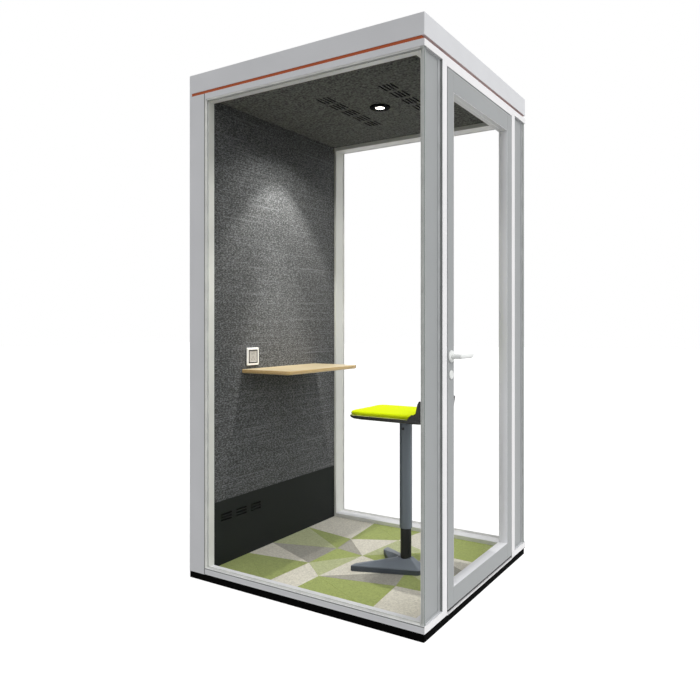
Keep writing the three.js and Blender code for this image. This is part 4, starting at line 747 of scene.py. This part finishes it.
@dataclass
class Base(Assembly):
    """Black plinth, feet and the carpet on its board."""

    columns: int = 4
    rows: int = 4
    jitter: float = 0.26
    groove_mm: float = 1.6
    pile_mm: float = 0.8

    def build(self) -> None:
        """Builds the base and its carpet."""
        self.ease(BASE_COAT, 1.5, "plinth")
        self.dress(BLACK_PLASTIC, "levelling_foot_1", "levelling_foot_2", "levelling_foot_3", "levelling_foot_4")
        self.dress(DECK_BOARD, "floor_deck")
        self.carpet()

    def carpet(self) -> None:
        """Lays triangles of pile in a generic layout, each a little proud of the grooves between them."""
        low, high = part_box("carpet")
        bpy.ops.object.select_all(action="DESELECT")
        middle = (low + high) / 2
        bpy.ops.mesh.primitive_grid_add(x_subdivisions=self.columns, y_subdivisions=self.rows, size=1,
                                        location=(middle.x, middle.y, high.z - self.pile_mm * MM))
        piece = bpy.context.object
        piece.name = "carpet_pile"
        piece.scale = (high.x - low.x, high.y - low.y, 1)
        settle(piece)
        self.loosen(piece, low, high)
        piles = [PILE_GREEN, PILE_CREAM, PILE_PALE, PILE_CREAM, PILE_GREEN, PILE_GREY]
        for pile in piles:
            piece.data.materials.append(pile.material())
        with editing(piece):
            bpy.ops.mesh.select_all(action="SELECT")
            bpy.ops.mesh.quads_convert_to_tris(quad_method="SHORTEST_DIAGONAL", ngon_method="BEAUTY")
        for tile in piece.data.polygons:
            tile.material_index = (3 * tile.index + tile.index // 4) % len(piles)
        with editing(piece):
            bpy.ops.mesh.select_all(action="SELECT")
            bpy.ops.mesh.inset(thickness=self.groove_mm / 2 * MM, depth=self.pile_mm * MM, use_individual=True)
        apply_modifier(piece, "SOLIDIFY", thickness=high.z - low.z - self.pile_mm * MM, offset=-1)
        self.add(piece, PILE_GREEN, Body.POD.value, SLOT_OF["carpet"], "carpet")

    def loosen(self, piece: bpy.types.Object, low: Vector, high: Vector) -> None:
        """Shifts the grid's inner corners off their rows, and keeps its rim straight.

        Args:
            piece: The carpet's grid.
            low: The carpet's lowest corner.
            high: The carpet's highest corner.
        """
        cell = Vector(((high.x - low.x) / self.columns, (high.y - low.y) / self.rows))
        for corner in piece.data.vertices:
            inside_x = low.x + 0.1 * cell.x < corner.co.x < high.x - 0.1 * cell.x
            inside_y = low.y + 0.1 * cell.y < corner.co.y < high.y - 0.1 * cell.y
            turn = 2.4 * corner.index
            corner.co.x += inside_x * self.jitter * cell.x * math.sin(turn)
            corner.co.y += inside_y * self.jitter * cell.y * math.cos(1.7 * turn)


@dataclass
class Framework(Assembly):
    """Rails, posts and headers round the glazing."""

    post_edge_mm: float = 1.5
    skirt_mm: float = 2.5
    line_mm: float = 4.0

    def build(self) -> None:
        """Eases the frame's edges, gives it painted shade where it looks into the cabin and painted light under
        the headers, and draws dark lines of painted shade round the panes and beside the door posts.
        """
        rails = self.ease(LIGHT_COAT, 1.2, "bottom_rail_front", "bottom_rail_back")
        headers = self.ease(LIGHT_COAT, 1.2, "header_front", "header_back")
        posts = self.ease(LIGHT_COAT, 1.2, "wall_post_front", "wall_post_back")
        for piece in rails + headers + posts:
            # Faces that look into the cabin get the duller coat: painted shade for the dimmer light inside.
            self.tint(piece, SHADED_REVEAL_COAT, self.looks_in)
            self.tint(piece, WHITE_COAT, self.at_door)
        # The headers' undersides get the white coat: painted light, standing in for light from below.
        for header in headers:
            self.tint(header, WHITE_COAT, lambda _, normal: normal.z < -0.9)
        for piece in rails:
            self.skirt(piece)
        self.line(rails, headers, posts)
        self.ease(WHITE_COAT, 1.2, "header_door", "door_sill")
        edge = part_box("door_post_hinge")[1].y - self.post_edge_mm * MM
        for post in self.ease(WHITE_COAT, 1.0, "door_post_latch", "door_post_hinge"):
            # The posts' side faces beside the panels are painted dark grey: painted shade of the step there.
            self.tint(post, SHADE_LINE_COAT, lambda middle, normal: abs(middle.y) > edge and abs(normal.y) > 0.9)
        self.ease(ZINC, 0.4, "strike_plate")

    def looks_in(self, middle: Vector, normal: Vector) -> bool:
        """Tells whether a face looks across the cabin, or from the desk wall towards the door."""
        return -normal.y * math.copysign(1, middle.y) > 0.9 or (normal.x > 0.9 and middle.x < 0)

    def at_door(self, middle: Vector, normal: Vector) -> bool:
        """Tells whether a face is part of the white surround of the door side."""
        return normal.x > 0.9 and middle.x > 0

    def skirt(self, piece: bpy.types.Object) -> None:
        """Blackens the lowest strip of a rail, where it goes over into the plinth."""
        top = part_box("plinth")[1].z + self.skirt_mm * MM
        split(piece, (0, 0, top), (0, 0, 1))
        self.tint(piece, BASE_COAT, lambda middle, _: middle.z < top)

    def line(self, rails: list[bpy.types.Object], headers: list[bpy.types.Object],
             posts: list[bpy.types.Object]) -> None:
        """Paints a dark line round the panes on the outer rim of the frame: painted shade of the gap between frame
        and seal.

        Args:
            rails: The bottom rails.
            headers: The top rails.
            posts: The posts at the desk wall.
        """
        low = max(corner[2] for corner in rails[0].bound_box) - self.line_mm * MM
        high = min(corner[2] for corner in headers[0].bound_box) + self.line_mm * MM
        for rail in rails:
            split(rail, (0, 0, low), (0, 0, 1))
            self.tint(rail, SHADE_LINE_COAT, lambda middle, normal: middle.z > low and self.outward(middle, normal))
        for header in headers:
            split(header, (0, 0, high), (0, 0, 1))
            self.tint(header, SHADE_LINE_COAT, lambda middle, normal: middle.z < high and self.outward(middle, normal))
        for post in posts:
            self.post_line(post)

    def outward(self, middle: Vector, normal: Vector) -> bool:
        """Tells whether a face looks away from the cabin along Y."""
        return normal.y * math.copysign(1, middle.y) > 0.9

    def post_line(self, post: bpy.types.Object) -> None:
        """Paints the dark line of painted shade on the outer face of a post, along its edge at the pane."""
        faces = [face.center.x for face in post.data.polygons if self.outward(face.center, face.normal)]
        rim = [corner.co.x for corner in post.data.vertices
               if abs(corner.co.y) > max(abs(c[1]) for c in post.bound_box) - 0.1 * MM]
        edge = max(rim) - self.line_mm * MM
        if not faces:
            return
        split(post, (edge, 0, 0), (1, 0, 0))
        self.tint(post, SHADE_LINE_COAT, lambda middle, normal: middle.x > edge and self.outward(middle, normal))


@dataclass
class Roof(Assembly):
    """Roof cap with its coloured strip, and the ceiling with lamp, vents and fan."""

    hollow_mm: float = 60.0
    wall_mm: float = 40.0
    slot_margin_mm: float = 30.0
    slot_rim_mm: float = 1.5

    def build(self) -> None:
        """Dresses the roof and the ceiling."""
        self.cap()
        self.dress(ORANGE_STRIP, "accent_strip")
        self.ceiling()
        self.ease(BASE_COAT, 0.8, "downlight_bezel")
        self.dress(LENS, "downlight_lens")
        self.dress(BLACK_PLASTIC, "fan_housing", "fan_rotor")

    def ceiling(self) -> None:
        """Makes the ceiling, with air slots whose walls and narrow rims are painted black: painted shade in and
        round each slot.
        """
        panel, = self.ease(CEILING_FELT, 0.3, "ceiling_panel", segments=1, pierced=True)
        with editing(panel):
            pick_faces(panel, self.looks_down)
            bpy.ops.mesh.inset(thickness=self.slot_rim_mm * MM)
        field_faces = [face.index for face in panel.data.polygons if face.select]
        # The slots' rims and walls are painted black: painted shade round and in each slot.
        self.tint(panel, SLOT_FLEECE_AND_SHADE, self.looks_down)
        for index in field_faces:
            panel.data.polygons[index].material_index = 0
        self.shade_slots(panel, "ceiling_panel", 2, self.slot_margin_mm)
        crisp(panel)

    def looks_down(self, _: Vector, normal: Vector) -> bool:
        """Tells whether a face is part of the ceiling's underside."""
        return normal.z < -0.9

    def cap(self) -> None:
        """Eases the cap's edges and lines its hollow with black foam."""
        cap, = self.ease(LIGHT_COAT, 0.8, "roof_cap", pierced=True)
        low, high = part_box("roof_cap")
        centre = (low + high) / 2

        def in_hollow(middle: Vector, normal: Vector) -> bool:
            """Tells whether a face is part of the hollow's walls or top."""
            reach = Vector((middle.x - centre.x, middle.y - centre.y, 0))
            top = middle.z > low.z + self.hollow_mm * MM
            inward = normal.z < -0.9 if top else reach.dot(normal) < 0
            deep = min(high.x - abs(middle.x), high.y - abs(middle.y)) > self.wall_mm * MM
            return inward and deep

        self.tint(cap, ROOF_LINING, in_hollow)


@dataclass
class DeskWall(Assembly):
    """Padded wall with its kick panel, desk shelf and socket."""

    dark_frame_mm: float = 66.0
    dark_frame_line_mm: float = 6.0
    dark_frame_proud_mm: float = 0.4
    pin_depth_mm: float = 6.0
    pin_margin_mm: float = 2.0
    slot_margin_mm: float = 30.0
    plenum_mm: float = 40.0

    def build(self) -> None:
        """Dresses the wall and what hangs on it."""
        core, = self.ease(LIGHT_COAT, 1.2, "wall_core")
        self.tint(core, SLOT_FLEECE_AND_SHADE, self.in_plenum)
        panel, = self.ease(PANEL_WOOL, 4.0, "wall_fabric_panel", segments=3)
        kick, = self.ease(KICK_COAT, 0.4, "kick_panel", segments=1, pierced=True)
        # The kick panel's slot walls are painted black: painted shade.
        self.shade_slots(kick, "kick_panel", 0, self.slot_margin_mm)
        self.dress(ZINC, "desk_bracket")
        self.desk()
        self.socket()

    def in_plenum(self, middle: Vector, normal: Vector) -> bool:
        """Tells whether a face lies in the core's air chamber behind the kick panel."""
        low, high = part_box("wall_core")
        across = min(middle.y - low.y, high.y - middle.y) > self.plenum_mm * MM
        below = middle.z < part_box("kick_panel")[1].z
        return across and below and low.x + self.plenum_mm * MM < middle.x < high.x - 2 * MM and normal.x > -0.5

    def desk(self) -> None:
        """Gives the shelf soft edges, grain on its faces and end grain round its rim."""
        shelf, = self.ease(DESK_BEECH, 1.2, "desk_top")
        self.tint(shelf, BEECH_EDGE, lambda _, normal: abs(normal.z) < 0.8)

    def socket(self) -> None:
        """Gives the socket a dark outline round its insert, partly painted shade, and pin slots painted black as
        painted shade.
        """
        self.ease(WHITE_PLASTIC, 1.0, "socket_plate")
        low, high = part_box("socket_module")
        insert = cad_copy("socket_module", "socket_insert")
        self.add(insert, GREY_PLASTIC, Body.POD.value, SLOT_OF["socket_module"], "socket_module")

        def in_pin_slot(middle: Vector, _: Vector) -> bool:
            """Tells whether a face is the wall or floor of a pin slot."""
            deep = high.x - (self.pin_depth_mm + 0.2) * MM < middle.x < high.x - 0.1 * MM
            edge = min(middle.y - low.y, high.y - middle.y, middle.z - low.z, high.z - middle.z)
            return deep and edge > self.pin_margin_mm * MM

        # The pin slots' walls and floors are painted black: painted shade in the slots.
        self.tint(insert, BLACK_PLASTIC, in_pin_slot)
        self.dark_frame((low + high) / 2, max(high.x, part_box("socket_plate")[1].x))

    def dark_frame(self, centre: Vector, face_x: float) -> None:
        """Adds the dark square that frames the insert, which also stands for painted shade of the gap round it.

        Args:
            centre: The middle of the insert.
            face_x: Where the socket's face is, in metres.
        """
        half = Vector((0, self.dark_frame_mm / 2, self.dark_frame_mm / 2)) * MM
        dark_frame = upright_plane("socket_dark_frame", face_x, centre - half, centre + half)
        with editing(dark_frame):
            bpy.ops.mesh.select_all(action="SELECT")
            bpy.ops.mesh.inset(thickness=self.dark_frame_line_mm * MM)
            bpy.ops.mesh.delete(type="FACE")
            bpy.ops.mesh.select_all(action="SELECT")
            bpy.ops.mesh.extrude_region_move(TRANSFORM_OT_translate={"value": (self.dark_frame_proud_mm * MM, 0, 0)})
            bpy.ops.mesh.select_all(action="SELECT")
            bpy.ops.mesh.normals_make_consistent(inside=False)
        self.add(dark_frame, DARK_FRAME_PLASTIC, Body.POD.value, "black_plastic")


@dataclass
class Glazing(Assembly):
    """Fixed panes, the solid panels beside the door, and their seals."""

    corner_mm: float = 25.0
    panel_mm: float = 17.0

    def build(self) -> None:
        """Dresses panes, panels and seals."""
        self.panes("front_glass", "back_glass")
        self.ease(LEAF_COAT, 0.8, "side_panel_latch", "side_panel_hinge")
        self.seal("glazing_seal_front")
        self.seal("glazing_seal_back")

    def panes(self, *nodes: str) -> None:
        """Makes panes with polished edges, and a bonded rim where they run past the panels beside the door.

        Args:
            *nodes: The CAD nodes of the panes.
        """
        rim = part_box("side_panel_latch")[1].x
        for pane in self.ease(GLASS, 0.8, *nodes, segments=1):
            self.tint(pane, GLASS_EDGE, lambda _, normal: abs(normal.y) < 0.9)
            split(pane, (rim, 0, 0), (1, 0, 0))
            self.tint(pane, BEAD, lambda middle, normal: middle.x > rim and abs(normal.y) > 0.9)

    def seal(self, node: str) -> None:
        """Replaces a seal by a white copy, with grey runs beside the door and a bead at the glass corner.

        Args:
            node: The seal's CAD node.
        """
        low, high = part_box(node)
        seal = cad_copy(node, f"{node}_dressed")
        side = high.x - self.panel_mm * MM
        corner = max(abs(low.y), abs(high.y)) - self.corner_mm * MM
        split(seal, (side, 0, 0), (1, 0, 0))
        self.add(seal, SEAL_RUBBER, BODY_OF[node], SLOT_OF[node], node)
        self.tint(seal, PANEL_RUBBER, lambda middle, _: middle.x > side)
        self.tint(seal, BEAD, lambda middle, _: middle.x > side and abs(middle.y) > corner)


@dataclass
class DoorLeaf(Glazing):
    """The swinging leaf: grey stiles and rails, glass and pale glazing liners."""

    liner_mm: float = 2.0
    liner_gap_mm: float = 0.4
    liner_edge_mm: float = 0.4
    sweep_mm: float = 6.0

    def build(self) -> None:
        """Dresses the leaf and lines its opening."""
        self.ease(LEAF_COAT, 1.0, "door_rail_top")
        self.sweep()
        self.dress(ZINC, "pivot_pin_bottom", "pivot_pin_top")
        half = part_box("door_stile_hinge")[0].y
        low = Vector((0, -half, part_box("door_rail_bottom")[1].z))
        high = Vector((0, half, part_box("door_rail_top")[0].z))
        self.liner(low, high)
        self.trim(low, high)

    def sweep(self) -> None:
        """Makes the stiles and the bottom rail, with a dark rubber strip along their lower edge that also carries
        painted shade of the gap under the leaf.
        """
        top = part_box("door_rail_bottom")[0].z + self.sweep_mm * MM
        for piece in self.ease(LEAF_COAT, 1.0, "door_stile_latch", "door_stile_hinge", "door_rail_bottom"):
            split(piece, (0, 0, top), (0, 0, 1))
            self.tint(piece, SWEEP_AND_GAP_SHADE, lambda middle, _: middle.z < top)

    def trim(self, low: Vector, high: Vector) -> None:
        """Makes the glass, as much of it as shows inside the liner.

        Args:
            low: The opening's lowest corner.
            high: The opening's highest corner.
        """
        pane, = self.ease(GLASS, 0.8, "door_glass", segments=1)
        glass_low, glass_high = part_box("door_glass")
        inset = 2 * (self.liner_mm + self.liner_gap_mm) * MM
        middle = (low + high) / 2
        share_y = (high.y - low.y - inset) / (glass_high.y - glass_low.y)
        share_z = (high.z - low.z - inset) / (glass_high.z - glass_low.z)
        for corner in pane.data.vertices:
            corner.co.y = middle.y + (corner.co.y - (glass_low.y + glass_high.y) / 2) * share_y
            corner.co.z = middle.z + (corner.co.z - (glass_low.z + glass_high.z) / 2) * share_z

    def liner(self, low: Vector, high: Vector) -> None:
        """Lines the opening with a thin mitred frame as deep as the leaf.

        Args:
            low: The opening's lowest corner.
            high: The opening's highest corner.
        """
        leaf_low, leaf_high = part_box("door_stile_latch")
        gap = self.liner_gap_mm * MM
        piece = upright_plane("glazing_liner", leaf_low.x + gap, low, high)
        depth = leaf_high.x - leaf_low.x - 2 * gap
        with editing(piece):
            bpy.ops.mesh.select_all(action="SELECT")
            bpy.ops.mesh.inset(thickness=self.liner_mm * MM)
            bpy.ops.mesh.delete(type="FACE")
            bpy.ops.mesh.select_all(action="SELECT")
            bpy.ops.mesh.extrude_region_move(TRANSFORM_OT_translate={"value": (depth, 0, 0)})
            bpy.ops.mesh.select_all(action="SELECT")
            bpy.ops.mesh.normals_make_consistent(inside=False)
        apply_modifier(piece, "BEVEL", width=self.liner_edge_mm * MM, segments=2, limit_method="ANGLE")
        smooth(piece)
        self.add(piece, LIGHT_COAT, Body.DOOR.value, "white_frame")


@dataclass
class Lock(Assembly):
    """Lever set, cylinder, thumb turn and the mortise lock in the stile."""

    screw_inset_mm: float = 9.0

    def build(self) -> None:
        """Dresses the lock and adds the screws of its face and of the strike."""
        self.ease(ZINC, 0.4, "lock_case", "latch_bolt", "deadbolt")
        self.ease(LEVER_COAT, 0.6, "rose_outside", "rose_inside", "key_cylinder", "thumb_turn")
        self.blend(LEVER_COAT, 0.9, 6, "lever_outside", "lever_inside")
        self.screws("lock_face_screws", "lock_case", Body.DOOR)
        self.screws("strike_screws", "strike_plate", Body.POD)

    def screws(self, name: str, node: str, body: Body) -> None:
        """Puts a screw near each end of a plate.

        Args:
            name: The piece's name.
            node: The plate's CAD node.
            body: The body that carries it.
        """
        low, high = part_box(node)
        facing = 1 if body is Body.POD else -1
        middle = (low + high) / 2
        middle.y = high.y if body is Body.POD else low.y
        reach = Vector((0, 0, (high.z - low.z) / 2 - self.screw_inset_mm * MM))
        self.add(Screw().pair(name, middle - reach, middle + reach, facing), ZINC, body.value, "steel")


@dataclass
class Stool(Assembly):
    """Perch stool: cast foot, telescopic column, black shell and lime cushion."""

    shrink_mm: float = 1.2
    voxel_mm: float = 4.0
    swell_mm: float = 3.0
    pressure: float = 3.0
    frames: int = 20
    piping_mm: float = 1.5

    def build(self) -> None:
        """Dresses the stool and pads its seat."""
        foot, = self.ease(SLATE_COAT, 1.4, "stool_base")
        # The foot's side faces get a darker slate: painted shade, as if lit only from above.
        self.tint(foot, FOOT_SIDE_SHADE, lambda _, normal: abs(normal.z) < 0.5)
        self.ease(BLACK_TUBE, 0.6, "stool_inner_tube")
        self.ease(COLUMN_COAT, 0.6, "stool_outer_tube")
        self.ease(BLACK_PLASTIC, 0.4, "stool_release_button")
        self.ease(BLACK_PLASTIC, 1.0, "stool_seat_shell")
        self.cushion()
        self.piping()

    def cushion(self) -> None:
        """Swells a slightly smaller pad by cloth pressure, within a cap."""
        pad = cad_copy("stool_seat_pad", "seat_cushion")
        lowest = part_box("stool_seat_pad")[0].z
        apply_modifier(pad, "DISPLACE", strength=-self.shrink_mm * MM, mid_level=0)
        apply_modifier(pad, "REMESH", mode="VOXEL", voxel_size=self.voxel_mm * MM)
        self.swell(pad)
        for corner in pad.data.vertices:
            corner.co.z = max(corner.co.z, lowest)
        apply_modifier(pad, "SUBSURF", levels=1, render_levels=1)
        smooth(pad, 80)
        self.add(pad, SEAT_FELT, Body.SEAT.value, SLOT_OF["stool_seat_pad"], "stool_seat_pad")

    def swell(self, pad: bpy.types.Object) -> None:
        """Runs the cloth and caps how far each point moves.

        Args:
            pad: The remeshed pad.
        """
        rest = [corner.co.copy() for corner in pad.data.vertices]
        cloth = pad.modifiers.new("Cloth", "CLOTH")
        cloth.settings.use_pressure = True
        cloth.settings.uniform_pressure_force = self.pressure
        cloth.settings.effector_weights.gravity = 0
        cloth.point_cache.frame_end = self.frames
        for step in range(1, self.frames + 1):
            bpy.context.scene.frame_set(step)
        activate(pad)
        bpy.ops.object.modifier_apply(modifier=cloth.name)
        bpy.context.scene.frame_set(1)
        for corner, start in zip(pad.data.vertices, rest, strict=True):
            move = corner.co - start
            if move.length > self.swell_mm * MM:
                corner.co = start + move.normalized() * self.swell_mm * MM

    def piping(self) -> None:
        """Runs a cord of trim round the cushion's lower edge, paler than the cushion as a painted highlight along
        that edge.
        """
        pad = frame["nodes"]["stool_seat_pad"]
        low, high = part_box("stool_seat_pad")
        middle = (low + high) / 2
        ring = {(round(c.co.x, 5), round(c.co.y, 5)) for c in pad.data.vertices if c.co.z < low.z + 0.2 * MM}
        outer = sorted(ring, key=lambda p: math.atan2(p[1] - middle.y, p[0] - middle.x))
        curve = bpy.data.curves.new("seat_piping", "CURVE")
        curve.dimensions = "3D"
        curve.bevel_depth = self.piping_mm * MM
        curve.bevel_resolution = 3
        line = curve.splines.new("POLY")
        line.points.add(len(outer) - 1)
        for point, (x, y) in zip(line.points, outer, strict=True):
            point.co = (x, y, low.z + self.piping_mm * MM, 1)
        line.use_cyclic_u = True
        piece = bpy.data.objects.new("seat_piping", curve)
        bpy.context.scene.collection.objects.link(piece)
        activate(piece)
        bpy.ops.object.convert(target="MESH")
        piece = bpy.context.object
        smooth(piece, 80)
        self.add(piece, PIPING_WITH_HIGHLIGHT, Body.SEAT.value, "seat_fabric")


@dataclass(frozen=True)
class Beam:
    """One beam of the pod's own light."""

    name: str
    watts: float
    cone_deg: float
    blend: float
    place: tuple[float, float, float]
    target: tuple[float, float, float]
    softness: float = 0.02
    warmth: tuple[float, float, float] = (1.0, 0.98, 0.94)

    def build(self) -> None:
        """Adds the lamp, unseen itself."""
        light = bpy.data.lights.new(self.name, "SPOT")
        light.energy = self.watts
        light.color = self.warmth
        light.spot_size = math.radians(self.cone_deg)
        light.spot_blend = self.blend
        light.shadow_soft_size = self.softness
        lamp = bpy.data.objects.new(self.name, light)
        lamp.location = self.place
        lamp.rotation_euler = (Vector(self.target) - Vector(self.place)).to_track_quat("-Z", "Y").to_euler()
        lamp.visible_camera = False
        lamp.visible_glossy = False
        lamp.visible_transmission = False
        bpy.context.scene.collection.objects.link(lamp)


@dataclass
class Studio:
    """Camera, lamps, world and floor."""

    eye: tuple[float, float, float] = (1.6866, -2.7881, 1.1621)
    heading_deg: float = 32.75
    lens_mm: float = 34.66
    shift: tuple[float, float] = (0.005, -0.0371)
    ambient: float = 0.42
    key: float = 1.4
    key_from: tuple[float, float, float] = (0.92, 0.05, 0.39)
    floor_colour: str = "#a0a0a0"
    floor_glow: float = 0.84
    beams: tuple[Beam, ...] = (
        Beam("desk_beam", 27, 46, 0.25, (-0.183, -0.05, 2.15), (-0.183, -0.05, 0)),
        Beam("halo", 10, 140, 0.5, (-0.183, -0.05, 2.15), (-0.183, -0.05, 0)),
        Beam("scallop", 37, 83, 0.4, (-0.264, -0.05, 2.17), (-0.264, -0.05, 0)),
        Beam("scallop_rim", 5, 109, 1.0, (-0.296, -0.24, 2.17), (-0.296, -0.24, 0)),
        Beam("wall_wash", 46, 30, 1.0, (0.094, -0.019, 2.178), (-0.502, -0.06, 1.25)),
    )

    def build(self) -> None:
        """Sets up the view and the light."""
        self.camera()
        self.world()
        for beam in self.beams:
            beam.build()
        self.floor()
        bpy.context.scene.view_settings.view_transform = "Standard"

    def camera(self) -> None:
        """Places the camera at the photograph's viewpoint."""
        data = bpy.data.cameras.new("viewpoint")
        data.lens = self.lens_mm
        data.sensor_width = 36
        data.shift_x, data.shift_y = self.shift
        camera = bpy.data.objects.new("viewpoint", data)
        camera.location = self.eye
        camera.rotation_euler = (math.pi / 2, 0, math.radians(self.heading_deg))
        bpy.context.scene.collection.objects.link(camera)
        bpy.context.scene.camera = camera

    def seen(self, tree: bpy.types.NodeTree) -> bpy.types.NodeSocket:
        """Gives 1 for rays that look at a backdrop, directly, in a mirror or through glass, and 0 for light."""
        rays = add_node(tree, "LightPath").outputs
        some = add_node(tree, "Math", {0: rays["Is Camera Ray"], 1: rays["Is Glossy Ray"]}, operation="MAXIMUM")
        every = add_node(tree, "Math", {0: some.outputs[0], 1: rays["Is Transmission Ray"]}, operation="MAXIMUM")
        return every.outputs[0]

    def world(self) -> None:
        """Makes a world that looks white and lights softly, more from the door side than from the rest."""
        world = bpy.data.worlds.new("studio")
        bpy.context.scene.world = world
        world.use_nodes = True
        tree = world.node_tree
        tree.nodes.clear()
        way = add_node(tree, "TexCoord").outputs["Generated"]
        facing = add_node(tree, "VectorMath", {0: way, 1: self.key_from}, operation="DOT_PRODUCT")
        soft = add_node(tree, "MapRange", {"Value": facing.outputs["Value"], "To Min": self.ambient,
                                           "To Max": self.ambient + self.key})
        level = add_node(tree, "Mix", {0: self.seen(tree), 2: soft.outputs["Result"], 3: 1.0})
        glow = add_node(tree, "Background", {"Color": (1, 1, 1, 1), "Strength": level.outputs[0]})
        add_node(tree, "OutputWorld", {"Surface": glow.outputs[0]})

    def floor(self) -> None:
        """Lays a pale floor that reads white where no shadow falls."""
        bpy.ops.object.select_all(action="DESELECT")
        bpy.ops.mesh.primitive_plane_add(size=60, location=(0, 0, 0))
        ground = bpy.context.object
        ground.name = "studio_floor"
        material = bpy.data.materials.new("studio floor")
        material.use_nodes = True
        tree = material.node_tree
        tree.nodes.clear()
        matt = add_node(tree, "BsdfDiffuse", {"Color": linear(self.floor_colour)})
        level = add_node(tree, "Math", {0: self.seen(tree), 1: self.floor_glow}, operation="MULTIPLY")
        glow = add_node(tree, "Emission", {"Color": (1, 1, 1, 1), "Strength": level.outputs[0]})
        both = add_node(tree, "AddShader", {0: matt.outputs[0], 1: glow.outputs[0]})
        add_node(tree, "OutputMaterial", {"Surface": both.outputs[0]})
        ground.data.materials.append(material)


def main() -> None:
    """Builds the studio and every assembly, and reports the pieces."""
    logging.basicConfig(level=logging.INFO, format="%(name)s: %(message)s")
    Studio().build()
    for assembly in (Base(), Framework(), Roof(), DeskWall(), Glazing(), DoorLeaf(), Lock(), Stool()):
        assembly.build()
        for piece in assembly.pieces:
            LOG.info("%s: %s", type(assembly).__name__, piece.name)


if __name__ == "__main__":
    main()
